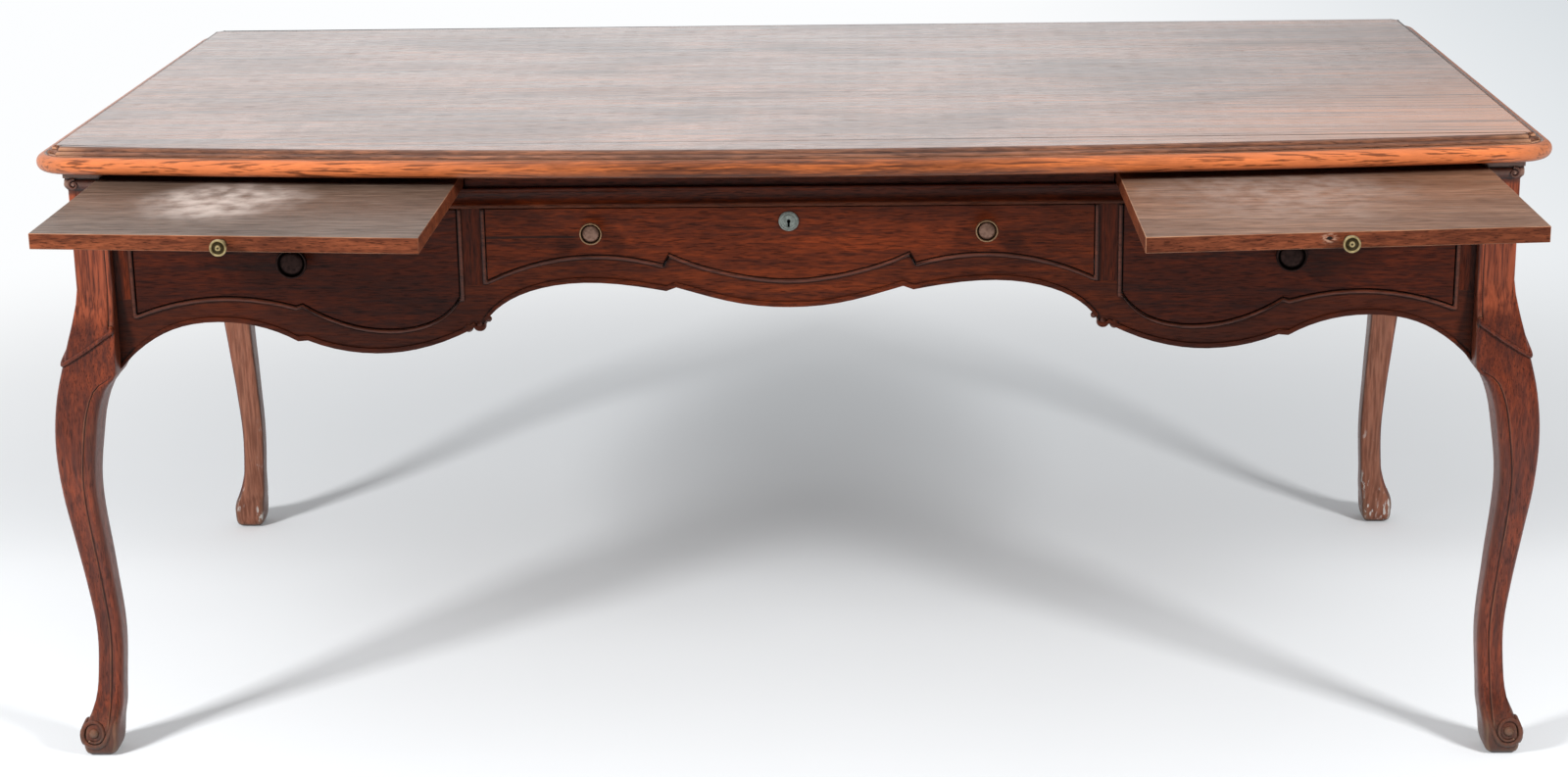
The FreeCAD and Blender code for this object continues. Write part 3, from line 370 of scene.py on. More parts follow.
def note_wear(mesh, strength):
    """Writes wear from the mesh's own shape, face by face; large flat faces stay at zero."""
    points, normals = read(mesh.vertices, "co", 3), read(mesh.vertices, "normal", 3)
    ends = read(mesh.edges, "vertices", 2, int)
    rise, touched = numpy.zeros(len(points)), numpy.zeros(len(points))
    for here, there in ((0, 1), (1, 0)):
        way = points[ends[:, there]] - points[ends[:, here]]
        way /= numpy.maximum(numpy.linalg.norm(way, axis=1), 1e-9)[:, None]
        numpy.add.at(rise, ends[:, here], (way * normals[ends[:, here]]).sum(1))
        numpy.add.at(touched, ends[:, here], 1)
    wear = numpy.clip(-strength * rise / numpy.maximum(touched, 1), -1, 1)
    corners = read(mesh.loops, "vertex_index", 1, int)[:, 0]
    wide = numpy.repeat(
        [face.area > SMALL for face in mesh.polygons], [face.loop_total for face in mesh.polygons]
    )
    layer = mesh.attributes.new("wear", "FLOAT", "CORNER")
    layer.data.foreach_set("value", numpy.where(wide, 0, wear[corners]).astype(numpy.float32))


def shown(name, bm, finishes, body, slot, *nodes, rubbed=5.0):
    """Turns a bmesh into a piece that rides on a body and stands for CAD nodes."""
    mesh = bpy.data.meshes.new(name)
    bm.to_mesh(mesh)
    bm.free()
    piece = placed(name, mesh)
    for finish in finishes:
        mesh.materials.append(finish)
    note_wear(mesh, rubbed)
    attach(piece, body)
    if nodes:
        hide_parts(*nodes)
    return piece


def smooth(bm):
    """Turns every face outwards and shades it smooth."""
    bmesh.ops.recalc_face_normals(bm, faces=bm.faces)
    for face in bm.faces:
        face.smooth = True


print("wear is ready")

# %% [markdown]
# ## Boards with eased edges
# No real board has an edge as sharp as a solid's. A copy of the solid's mesh, with its doubled points
# merged and its flat triangles joined, lets bevel round every sharp edge by a millimetre or so. Small
# round faces are shaded smooth and large ones stay flat, so light runs along each edge.

# %% Copy a solid's mesh
FLAT, SHARP = radians(0.5), radians(28)


def narrow_flats(bm):
    """The faces of long thin flats, such as a bead's: these keep their triangles, which bend with it."""
    found, left = set(), set(bm.faces)
    while left:
        flat = [left.pop()]
        for face in flat:
            for edge in face.edges:
                if edge.calc_face_angle(1) < FLAT:
                    flat += [f for f in edge.link_faces if f in left]
                    left.difference_update(edge.link_faces)
        rim = sum(e.calc_length() for f in flat for e in f.edges if e.calc_face_angle(1) >= FLAT)
        if len(flat) > 20 and sum(f.calc_area() for f in flat) < 0.004 * rim:
            found.update(flat)
    return found


def copied(node):
    """A bmesh of a CAD node, merged, with its wide flat faces whole."""
    bm = bmesh.new()
    bm.from_mesh(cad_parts[node].data)
    bmesh.ops.remove_doubles(bm, verts=bm.verts, dist=2 * TOUCHING)
    kept = narrow_flats(bm)
    edges = [e for e in bm.edges if not kept.issuperset(e.link_faces)]
    points = [v for v in bm.verts if kept.isdisjoint(v.link_faces)]
    bmesh.ops.dissolve_limit(bm, angle_limit=FLAT, verts=points, edges=edges)
    return bm


copy = copied("front_apron")
print("front apron merged into", len(copy.faces), "faces")
copy.free()

# %% Ease the edges of the boards
def bevelled(bm, geom, width, segments, kind="EDGES", clamp=True):
    bmesh.ops.bevel(
        bm, geom=geom, offset=width, offset_type="OFFSET", segments=segments, profile=0.5,
        affect=kind, clamp_overlap=clamp, material=-1,
    )


def ease(bm, width, segments=3, clamp=True, shortest=0.0):
    """Rounds the sharp edges of a bmesh, apart from very short ones where asked."""
    sharp = [e for e in bm.edges if e.is_manifold and e.calc_face_angle(0) > SHARP]
    bevelled(bm, [e for e in sharp if e.calc_length() > shortest], width, segments, clamp=clamp)
    for face in bm.faces:
        face.smooth = face.calc_area() < SMALL
    return bm


# Finish, width of the rounding in millimetres, and how strongly it is rubbed; a star is left and right.
BOARDS = {
    "front_apron": (apron_wood, 1.6, 5),
    "back_apron": (front_wood, 1.6, 5),
    "*_side_apron": (side_wood, 1.6, 5),
    "drawer_opening_beads": (bead_wood, 2.2, 2),
    "front_strip": (front_wood, 0.6, 1),
    "*_inner_stile": (shaded_stile_wood, 0.2, 0),
    "*_end_stile": (shaded_stile_wood, 0.2, 0),
    "centre_drawer_front": (split_wood, 0.9, 2),
    "*_drawer_front": (shaded_drawer_wood, 0.9, 2),
}
for names, (finish, width, rubbed) in BOARDS.items():
    for hand in ("left", "right") if "*" in names else ("",):
        node = names.replace("*", hand)
        body = node.removesuffix("_front") if "drawer_front" in node else "desk"
        board = ease(copied(node), width * MM, clamp=node != "drawer_opening_beads")
        shown(f"{node}_eased", board, [finish], body, "frame_wood", node, rubbed=rubbed)
print(len(BOARDS), "kinds of board eased")

# %% [markdown]
# ## The moulding over the drawers
# A long moulding runs over the three drawers: a small square, a hollow, and a round nose rubbed pale.
# It is one outline pulled along its length: a chain of edges is extruded, and both ends are closed.

# %% Run the frieze moulding
NOSE_HIGH = 5.5 * MM


def moulding(name, node, outline, finish, nose):
    """Pulls an outline of (distance in from the front, height), in millimetres, with its own nose finish."""
    low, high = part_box(node)
    bm = bmesh.new()
    spots = [bm.verts.new((low.x, low.y + back * MM, low.z + up * MM)) for back, up in outline]
    rim = [bm.edges.new(pair) for pair in zip(spots, spots[1:] + spots[:1])]
    pulled_out = bmesh.ops.extrude_edge_only(bm, edges=rim)["geom"]
    far_points = [v for v in pulled_out if isinstance(v, bmesh.types.BMVert)]
    bmesh.ops.translate(bm, vec=(high.x - low.x, 0, 0), verts=far_points)
    for end in (rim, [e for e in pulled_out if isinstance(e, bmesh.types.BMEdge)]):
        bmesh.ops.contextual_create(bm, geom=end)
    bmesh.ops.recalc_face_normals(bm, faces=bm.faces)
    for face in bm.faces:
        along = len(face.verts) == 4
        face.smooth = along and face.calc_area() < 0.012
        face.material_index = int(along and face.calc_center_median().z < low.z + NOSE_HIGH)
    return shown(name, bm, [finish, nose], "desk", "frame_wood", node)


HOLLOW = [
    (13, 25), (1.6, 25), (1.2, 24.6), (1.2, 21.4), (1.8, 21), (2.9, 18.5), (3.6, 15.5), (3.7, 12.5),
    (3.0, 9.5), (1.5, 6.8), (0.4, 5.2), (0, 3.4), (0.3, 1.7), (1.3, 0.5), (2.6, 0), (13, 0),
]
moulding("frieze_moulding_run", "frieze_moulding", HOLLOW, front_wood, nose_wood)
print("frieze moulding run")

# %% [markdown]
# ## Small carving on the front
# Where the middle arch of the apron meets the side bays, its edge bead curls into a small ball with
# smaller lobes beside it. Spheres sunk in the apron are enough at this size.

# %% Carve the apron's balls
# Distance from the middle, height and radius, in millimetres.
BALLS = ((377, 548.5, 7.4), (391.5, 546.5, 6.2), (366, 557.5, 3.8))
front_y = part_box("front_apron")[0].y
bm = bmesh.new()
for side in (-1, 1):
    for across_x, height, radius in BALLS:
        made = bmesh.ops.create_uvsphere(bm, u_segments=24, v_segments=14, radius=radius * MM)
        place = (side * across_x * MM, front_y + (radius + 0.2) * MM, height * MM)
        bmesh.ops.translate(bm, vec=place, verts=made["verts"])
smooth(bm)
shown("apron_balls", bm, [bead_wood], "desk", "frame_wood", rubbed=1.0)
print("balls carved at y", round(front_y, 4))

# %% [markdown]
# ## The top's finishes
# The field has gone grey-brown under years of wax and light and mirrors the pale room at a flat
# angle, while its rounded edge is orange-brown where it is rubbed, with a painted grey sheen at the
# short ends. The step between them is a darker brown. All three are the same wood, the field with a
# stronger coat.

# %% Mix the top's woods
def streaked(tone, place, wear):
    """Long thin dark lines in the field, and a warmer tone towards its near right corner."""
    near_right = (place.part("X") - 1.2 * place.part("Y") + 0.3 * place.noise(3, 2)).between(0.60, 1.35)
    tone = (0.55 * near_right).tint(tone, (0.98, 0.420, 0.210))
    line = place.stretch([0.012, 1, 1]).noise(230, 5).between(0.52, 0.64)
    return (0.70 * line).tint(tone, (0.030, 0.012, 0.007))


def pale_ends_and_painted_sheen(tone, place, wear):
    """The front is paler towards both ends, with dark pores; the short ends are painted greyer, a painted
    sheen.
    """
    outward = place.part("X").absolute()
    tone = (0.50 * outward.between(0.10, 0.65)).tint(tone, (0.92, 0.270, 0.095))
    line = place.stretch([0.02, 1, 1]).noise(330, 4).between(0.53, 0.63)
    tone = (0.75 * line).tint(tone, (0.040, 0.010, 0.004))
    # Painted sheen: the short ends are painted greyer, as the rounded edge there mirrors the pale room.
    ends = outward.between(half_width - 0.060, half_width - 0.015)
    return (0.50 * ends).tint(tone, (0.26, 0.110, 0.062))


top_finish = wood(
    "Top_wood", "x", (0.036, 0.013, 0.007), (0.70, 0.320, 0.190), (0.45, 0.22, 0.12),
    rough=0.24, coat=1.0, coarse=1.5, straight=2.4, extra=streaked, shine=0.8, coat_ior=1.95, uneven=0.45,
)
edge_finish = wood(
    "Top_edge_wood", "x", (0.030, 0.007, 0.003), (0.54, 0.140, 0.034), (0.60, 0.22, 0.080),
    rough=0.36, coat=0.25, coarse=1.2, straight=1.8, shine=0.25, extra=pale_ends_and_painted_sheen, wax_and_shade=0.5,
)
step_finish = wood(
    "Top_step_wood", "x", (0.050, 0.017, 0.009), (0.340, 0.130, 0.062), (0.50, 0.25, 0.14),
    rough=0.36, coat=0.4, straight=1.5, shine=0.4, wax_and_shade=0.6,
)
print("top woods mixed")

# %% [markdown]
# ## The moulded top
# The slab's front bows out and its edge is a full half round. It starts as one flat face: a rectangle
# whose front side is cut up and pushed out along an arc, and whose corners bevel rounds in plan. Each
# inset then shrinks the face and lifts it a step, along the arc of the half round, over a small quirk
# and onto the flat. The same is done downwards for the underside.

# %% Turn the slab's half round
def bow_front(bm, half_long, cuts=28):
    """Cuts up the long front side of a wire outline and bows it out."""
    front = [e for e in bm.edges if max(v.co.y for v in e.verts) < 0 and e.calc_length() > half_long]
    bmesh.ops.subdivide_edges(bm, edges=front, cuts=cuts)
    for point in bm.verts:
        if point.co.y < 0:
            point.co.y -= bow * (1 - (point.co.x / half_long) ** 2)


def grow_steps(bm, face, steps, finish=0):
    """Insets a face step by step; each step is how far in and how far up."""
    for inward, lift in steps:
        made = bmesh.ops.inset_individual(
            bm, faces=[face], thickness=inward, depth=lift, use_even_offset=True
        )
        for side in made["faces"]:
            side.material_index = finish
    face.material_index = 0


def quarter_round(radius, count):
    """Steps that follow a quarter round from its widest line inwards."""
    turns = [pi / 2 * k / count for k in range(count + 1)]
    spots = [(radius * (1 - cos(t)), radius * sin(t)) for t in turns]
    return [(b[0] - a[0], b[1] - a[1]) for a, b in zip(spots, spots[1:])]


LARGE = 0.05  # square metres: the flats of the top are larger than this
FIELD_HIGH, CORNER = 9.5 * MM, 42 * MM
nose = 10 * MM
slab_low, slab_top = top_low.z, top_high.z - FIELD_HIGH
bm = bmesh.new()
bmesh.ops.create_grid(bm, x_segments=1, y_segments=1, size=1)
bmesh.ops.scale(bm, vec=(half_width, half_depth, 1), verts=bm.verts)
bmesh.ops.delete(bm, geom=bm.faces[:], context="FACES_ONLY")
bow_front(bm, half_width)
bmesh.ops.contextual_create(bm, geom=bm.edges[:])
corners = [v for v in bm.verts if abs(v.co.x) > half_width - MM]
bmesh.ops.translate(bm, vec=(0, middle_y, slab_low + nose), verts=bm.verts)
bevelled(bm, corners, CORNER, 12, "VERTICES")
upper = bm.faces[:][0]
rim = bm.edges[:]
lower = bmesh.ops.extrude_edge_only(bm, edges=rim)["geom"]
bmesh.ops.translate(bm, vec=(0, 0, slab_top - slab_low - 2 * nose), verts=upper.verts[:])
under = bmesh.ops.contextual_create(bm, geom=[e for e in lower if isinstance(e, bmesh.types.BMEdge)])
bmesh.ops.recalc_face_normals(bm, faces=bm.faces)
quirk = [(2.2 * MM, 0), (0.5 * MM, -1.0 * MM), (0.9 * MM, 0), (0.5 * MM, 1.0 * MM)]
grow_steps(bm, upper, quarter_round(nose, 8))
grow_steps(bm, upper, quirk + [(12 * MM, 0)], 1)
grow_steps(bm, under["faces"][0], quarter_round(nose, 6) + [(10 * MM, 0)])
for face in bm.faces:
    face.smooth = face.calc_area() < LARGE
slab = shown("top_slab", bm, [edge_finish, step_finish], "desk", "top_wood")
print("slab with", len(slab.data.polygons), "faces")

# %% [markdown]
# ## The raised field
# On the slab lies a field whose corners turn inwards. A corner is a point spun a quarter turn about
# the corner itself; mirrored twice it makes all four, and four edges close the outline, the front one
# bowed like the slab's. The field's own edge is a moulding made of insets: a hollow, a small step and
# a round, nine and a half millimetres high in all.

# %% Raise the field
field_x, field_y, notch = half_width - 16 * MM, half_depth - 16 * MM, 14 * MM
bm = bmesh.new()
first = bm.verts.new((field_x - notch, field_y, 0))
bmesh.ops.spin(
    bm, geom=[first], cent=(field_x, field_y, 0), axis=(0, 0, 1), dvec=(0, 0, 0),
    angle=pi / 2, steps=8, use_merge=False,
)
for axis in "XY":
    bmesh.ops.mirror(bm, geom=bm.verts[:] + bm.edges[:], matrix=Matrix(), merge_dist=TOUCHING, axis=axis)
ends = [v for v in bm.verts if len(v.link_edges) == 1]
for along, near in ((0, 1), (1, 0)):
    for sign in (-1, 1):
        pair = [v for v in ends if abs(v.co[near] - sign * (field_y, field_x)[along]) < TOUCHING]
        bm.edges.new(pair)
bow_front(bm, field_x)
outline = bmesh.ops.contextual_create(bm, geom=bm.edges[:])
bmesh.ops.translate(bm, vec=(0, middle_y, slab_top - 0.2 * MM), verts=bm.verts)
base = outline["faces"][0]
if base.normal.z < 0:
    base.normal_flip()
raised = bmesh.ops.extrude_face_region(bm, geom=[base])
lid = [f for f in raised["geom"] if isinstance(f, bmesh.types.BMFace)][0]
bmesh.ops.translate(bm, vec=(0, 0, 1.2 * MM), verts=lid.verts[:])
bmesh.ops.recalc_face_normals(bm, faces=bm.faces)
hollow = ((0.3, 1.0), (0.5, 0.9), (0.8, 0.8), (1.1, 0.6), (1.4, 0.3), (1.2, 0.02), (0.1, 0.9))
bead = ((0.2, 1.2), (0.6, 1.1), (0.9, 0.8), (1.1, 0.5), (1.2, 0.3), (1.0, 0.08))
grow_steps(bm, lid, [(inward * MM, lift * MM) for inward, lift in hollow + bead])
for face in bm.faces:
    face.smooth = face.calc_area() < LARGE
    face.material_index = int(face.smooth)
field = shown("top_field", bm, [top_finish, step_finish], "desk", "top_wood", "desk_top")
print("field at", round(max(v.co.z for v in field.data.vertices), 4), "m")

# %% [markdown]
# ## The legs' wood
# The legs take the same stain, with the grain upright. The posts are painted brighter, as painted
# light, and the caps under the top are painted dark, as painted shade, with painted highlights on
# their rims. The inner faces are painted lighter, fully on the back legs, which face the lamps, and a
# little on the front ones: painted light. The feet have gone grey, and the back feet are scuffed
# white.

# %% Mix the legs' wood
def leg_wear_and_painted_light(tone, place, wear):
    """Painted light on the posts and inner faces, painted shade and highlights on the caps, grey feet, white
    scuffs and rubbed rims.
    """
    inside = wear.attribute("inside")
    height = place.part("Z")
    cap = height.between(0.716, 0.722)
    # Painted light: the posts are painted brighter below their caps, where the lamps light them.
    post = height.between(0.550, 0.575) * place.stretch([1, 1, 0.06]).noise(330, 4).between(0.34, 0.64)
    tone = (0.70 * post * (1 - inside) * (1 - cap)).tint(tone, (0.36, 0.082, 0.034))
    # Painted shade under the top: the caps are painted dark, and painted highlights go on their rounded rims.
    tone = (0.65 * cap).tint(tone, (0.045, 0.015, 0.010))
    tone = (0.60 * cap * wear.between(0.10, 0.70)).tint(tone, (0.30, 0.19, 0.15))
    # Painted light: the inner faces are painted lighter where the inside attribute says so.
    streak = place.stretch([1, 1, 0.05]).noise(300, 4).between(0.30, 0.70)
    tone = (0.75 * inside).tint(tone, streak.tint((0.19, 0.066, 0.036), (0.40, 0.165, 0.100)))
    low = 1 - height.between(0.010, 0.080)
    tone = (0.60 * low * (1 - inside)).tint(tone, (0.070, 0.040, 0.028))
    rim = wear.between(0.15, 0.80) * low
    tone = (0.40 * rim).tint(tone, (0.30, 0.20, 0.13))
    chips = place.stretch([1, 1, 0.35]).noise(210, 5).between(0.53, 0.60)
    scuff = chips * place.stretch([1, 1, 0.4]).noise(42, 2).between(0.52, 0.62)
    return (0.9 * scuff * inside * (1 - height.between(0.10, 0.19))).tint(tone, (0.68, 0.64, 0.60))


leg_wood = wood(
    "Leg_wood", "z", (0.036, 0.006, 0.003), (0.255, 0.048, 0.016), (0.29, 0.12, 0.064),
    rough=0.34, coat=0.24, extra=leg_wear_and_painted_light, shine=0.28,
)
print("leg wood mixed")

# %% [markdown]
# ## The cabriole legs
# A cabriole leg is sawn twice from square stock, along the same curve on two faces, so every cut
# through it is a square whose sides follow the curve. The leg is one cut every few millimetres,
# bridged to the next. Each has a broad bead at the inner edge of both show faces, a quirk beside it, a
# slightly hollow face, and a soft arris.

# %% Describe the leg's curve
# Heights in millimetres: the bracket where the leg meets the apron, the post's foot, the roll, the cap
# and the leg's top. Inside the post the inner line lies 45 mm behind the show face.
BRACKET, POST, ROLL, CAP, LEG_TOP = 498, 552, 724, 739, 750
INSIDE = -45
# Height, and how far the arris stands out of the post, or the inner line lies inside it.
OUTER = (
    (0, 23.5), (2, 27.4), (6, 30.0), (12, 31.2), (21, 31.4), (31, 31.2), (41, 28.6), (53, 22.4),
    (72, 15.6), (100, 11.6), (158, 9.3), (220, 14.6), (288, 23.0), (350, 30.6), (413, 33.4),
    (470, 28.4), (528, 15.5), (565, 6.0), (600, 0.0), (LEG_TOP, 0.0),
)
INNER = (
    (0, -1.5), (2, -6.0), (6, -9.0), (14, -11.4), (28, -13.0), (42, -14.2), (60, -17.0), (82, -18.3),
    (158, -22.2), (242, -17.6), (353, -10.8), (428, -18.0), (457, -23.4), (480, -32),
    (BRACKET, INSIDE), (LEG_TOP, INSIDE),
)


def curve_at(knots, height):
    """Reads a smooth curve through (height, distance) knots at one height, all in millimetres."""
    spot = max(k for k in range(len(knots) - 1) if knots[k][0] <= height or k == 0)

    def slope(k):
        ends = knots[max(k - 1, 0)], knots[min(k + 1, len(knots) - 1)]
        return (ends[1][1] - ends[0][1]) / (ends[1][0] - ends[0][0])

    (low, a), (high, b) = knots[spot], knots[spot + 1]
    t = min(max((height - low) / (high - low), 0), 1)
    span = high - low
    return (
        a * (2 * t**3 - 3 * t**2 + 1) + b * (3 * t**2 - 2 * t**3)
        + span * (slope(spot) * (t**3 - 2 * t**2 + t) + slope(spot + 1) * (t**3 - t**2))
    )


def outer_at(height):
    """How far the show face stands out of the post: foot, knee, then the roll and cap at the top."""
    if height > CAP:
        return 4.3
    if height > ROLL:
        return 3.7 * sin(pi * (height - ROLL) / (CAP - ROLL))
    return max(curve_at(OUTER, height), 0)


def inner_at(height):
    return INSIDE if height >= BRACKET else curve_at(INNER, height)


print("knee", round(outer_at(413), 1), "mm out of the post, ankle", round(outer_at(158), 1), "mm")

# %% Cut the leg's sections
def leg_cut(height):
    """Points round one cut, as distances out of the post on both show faces, in millimetres."""
    inner, outer = inner_at(height), outer_at(height)
    depth = outer - inner
    # The edge bead's width, lift over the face and drop behind it, then the quirk's depth: shape
    # brings them in above the foot, and soft rounds the arris.
    shape = min(max((height - 18) / 40, 0), 1)
    wide, lift, drop, groove = 13.0 - 4.5 * (1 - shape), 0.6 * shape, 8.5, 1.9 * shape
    fade = 14
    if height >= POST:
        wide, lift, drop, groove = 7.0, 1.2, 3.0, 1.6
    elif height >= BRACKET:
        wide, lift, drop, groove = 3.0, -0.2, 0.6, 0.2
    elif height > BRACKET - fade:
        step = (height - BRACKET + fade) / fade
        wide, lift, drop, groove = 13 - 9.8 * step, 0.6 - 0.8 * step, 8.5 - 7.9 * step, 1.9 - 1.7 * step
    if height > ROLL - 1:
        lift, groove, drop = 0, 0, 1.0
    soft = 2.5 + 4.0 * min(max((height - 60) / 120, 0), 1) * min(max((560 - height) / 60, 0), 1)
    soft = soft if height > 60 else 5.5
    cut = [(inner + 4 - 4 * cos(a), inner + 4 - 4 * sin(a)) for a in (pi / 4, pi / 2.8)]
    cut += [(inner + (depth - drop) * share, inner) for share in (0.3, 0.6, 0.85)]
    for step in range(6):
        a = pi / 2 * step / 5
        cut.append((outer - drop + (lift + drop) * sin(a), inner + 0.55 * wide * (1 - cos(a))))
    for step in range(1, 5):
        a = pi / 2 * (1 - step / 4)
        cut.append((outer - groove + (lift + groove) * sin(a), inner + wide * (0.55 + 0.45 * cos(a))))
    cut.append((outer - groove, inner + wide + 0.5))
    cut.append((outer - 0.1 * shape, inner + wide + 1.7))
    start, end = wide + 2.7, depth - soft
    for step in range(5):
        t = step / 4
        cut.append((outer - 0.9 * shape * sin(pi * t), inner + start + (end - start) * t))
    for step in range(1, 4):
        a = pi / 4 * step / 3
        cut.append((outer - soft + soft * cos(a), outer - soft + soft * sin(a)))
    return cut + [(b, a) for a, b in reversed(cut[:-1])][:-1]


heights = [0, 1.5, 4, 7, 11, 16, 21, 26, 31, 36, 41, 46, 50, 55, 62]
heights += [70 + 12 * k for k in range(35)]
heights += [486, 492, 497.5, 498.5, 506, 516, 526, 538, 551.5, 552.5, 565, 582]
heights += [600, 640, 680, 722.5, 723.5, 724.5, 726, 728, 730, 732.5, 735, 737, 738.6, 739.4, LEG_TOP]
print(len(heights), "cuts of", len(leg_cut(100)), "points")

# %% Bridge the cuts into a leg
def leg_point(point, height, hand, end):
    """A point of a leg: hand is -1 for left and 1 for right, end is -1 for front and 1 for back."""
    x, y = hand * (post_x + point[0] * MM), middle_y + end * (post_y + point[1] * MM)
    return Vector((x, y, height * MM))


def carved_leg(name, hand, end):
    """One whole leg, with an attribute that tells its inner faces."""
    bm = bmesh.new()
    before = None
    for height in heights:
        ring = [bm.verts.new(leg_point(p, height, hand, end)) for p in leg_cut(height)]
        rim = [bm.edges.new((a, b)) for a, b in zip(ring, ring[1:] + ring[:1])]
        if before:
            bmesh.ops.bridge_loops(bm, edges=before + rim)
        else:
            bmesh.ops.contextual_create(bm, geom=rim)
        before = rim
    bmesh.ops.contextual_create(bm, geom=before)
    bmesh.ops.recalc_face_normals(bm, faces=bm.faces)
    for face in bm.faces:
        face.smooth = len(face.verts) == 4
    piece = shown(f"{name}_carved", bm, [leg_wood], "desk", "leg_wood", name)
    layer = piece.data.attributes.new("inside", "FLOAT", "POINT")
    # The inner faces are painted lighter fully on the back legs, which face the lamps, and a little on the
    # front ones: painted light.
    outward, pale = Vector((hand, end, 0)), 1.0 if end > 0 else 0.12
    for vertex in piece.data.vertices:
        layer.data[vertex.index].value = pale if vertex.normal.dot(outward) < -0.35 else 0.0
    return piece


LEGS = {
    f"{row}_{side}_leg": (hand, end)
    for row, end in (("front", -1), ("back", 1)) for side, hand in (("left", -1), ("right", 1))
}
for name, (hand, end) in LEGS.items():
    leg = carved_leg(name, hand, end)
print("leg with", len(leg.data.polygons), "faces")

# %% [markdown]
# ## Beads that follow a line
# Carved beads and scrolls run over curved faces. A round bead is a curve with some thickness, half
# sunk in the wood: its points are written along the face it decorates, and the curve is turned into a
# mesh. The radius may taper, which is how a scroll runs out into its eye. The first such beads form a
# V at the foot of each post.

# %% Make beads from curves
def carved_bead(name, paths):
    """Round beads on a leg along paths of (point, radius in metres)."""
    line = bpy.data.curves.new(name, "CURVE")
    line.dimensions = "3D"
    line.bevel_depth = 1.0
    line.bevel_resolution = 3
    line.resolution_u = 4
    line.use_fill_caps = True
    for path in paths:
        spline = line.splines.new("NURBS")
        spline.points.add(len(path) - 1)
        for point, (place, radius) in zip(spline.points, path):
            point.co = (*place, 1)
            point.radius = radius
        spline.order_u = 3
        spline.use_endpoint_u = True
    thread = placed(name, line)
    bpy.context.view_layer.update()
    mesh = bpy.data.meshes.new_from_object(thread.evaluated_get(bpy.context.evaluated_depsgraph_get()))
    bpy.data.objects.remove(thread)
    bm = bmesh.new()
    bm.from_mesh(mesh)
    bmesh.ops.remove_doubles(bm, verts=bm.verts, dist=TOUCHING)
    smooth(bm)
    shown(name, bm, [leg_wood], "desk", "leg_wood", rubbed=2.0)


# %% Border the posts
def post_border(hand, end):
    """A V of two beads at the foot of the post, which joins the beads of its inner edges."""
    path = [((-41.0, outer_at(height) + 0.6), height) for height in (556, 552, 549)]
    for share in (0.15, 0.4, 0.7, 0.92):
        height = 549 - 39 * share
        out = outer_at(height)
        path.append(((-40 + (out + 40) * share, out + 0.6), height))
    tip = outer_at(510)
    whole = path + [((tip - 0.8, tip - 0.8), 510)] + [((b, a), height) for (a, b), height in reversed(path)]
    return [(leg_point(spot, height, hand, end), 2.9 * MM) for spot, height in whole]


for name, (hand, end) in LEGS.items():
    carved_bead(f"{name}_border", [post_border(hand, end)])
print("posts bordered")

# %% [markdown]
# ## The scroll feet
# The leg's bead runs down the inner edge, under the foot and up round a ball, the eye of the scroll.
# On each show face it is a spiral whose radius shrinks as it turns. Every point is laid on the
# rounded face of the foot, which stands out furthest at the height of the eye. The roll under the cap
# ends in a small curl and eye of its own.

# %% Carve the scrolls
EYE, CURL = 31, 731


def laid(path, hand, end, swap):
    """Takes points of (spot, height, radius) to a leg; swap turns them onto its other show face."""
    sides = [(spot[::-1] if swap else spot, height, radius) for spot, height, radius in path]
    return [(leg_point(spot, height, hand, end), radius * MM) for spot, height, radius in sides]


def scroll():
    """The spiral on a show face of the foot."""
    path = []
    for height, across_face, radius in ((96, -13.0, 1.0), (76, -11.5, 2.2), (56, -9.0, 3.0), (36, -4.0, 3.3)):
        path.append(((across_face, outer_at(height) - 1.2), height, radius))
    for step in range(19):
        turn_by = radians(-140 + 25 * step)
        reach = 18.2 - 7.0 * step / 18
        height = EYE + reach * sin(turn_by)
        spot = (17 + 0.94 * reach * cos(turn_by), max(outer_at(height), 27) - 0.3 + 1.2 * step / 18)
        path.append((spot, height, 3.5 - 1.9 * step / 18))
    return path


def roll_end():
    """The curl at the corner of the roll under the cap."""
    path = []
    for step in range(11):
        turn_by = radians(100 - 38 * step)
        reach = 7.0 - 4.6 * step / 10
        spot = (-8.5 + reach * cos(turn_by), 2.6 + 0.12 * step)
        path.append((spot, CURL + reach * sin(turn_by), 1.9 - 0.7 * step / 10))
    return path


EYES = (
    ((17, 28), EYE, 7), ((28, 17), EYE, 7), ((19, 19), 52, 3.4), ((-8.5, 3.2), CURL, 2.2),
    ((3.2, -8.5), CURL, 2.2),
)
for name, (hand, end) in LEGS.items():
    lines = [laid(curl(), hand, end, swap) for swap in (False, True) for curl in (scroll, roll_end)]
    carved_bead(f"{name}_scrolls", lines)
    bm = bmesh.new()
    for spot, height, radius in EYES:
        made = bmesh.ops.create_uvsphere(bm, u_segments=24, v_segments=16, radius=radius * MM)
        bmesh.ops.translate(bm, vec=leg_point(spot, height, hand, end), verts=made["verts"])
    smooth(bm)
    shown(f"{name}_eyes", bm, [leg_wood], "desk", "leg_wood")
print("scrolls carved")

# %% [markdown]
# ## Metals
# The slide knobs are yellow brass rubbed bright on the rim and dull in the dish. The centre drawer's
# knobs are browner. Those of the side drawers are painted nearly black, as painted shade under the
# slides, and the lock's plate is grey.

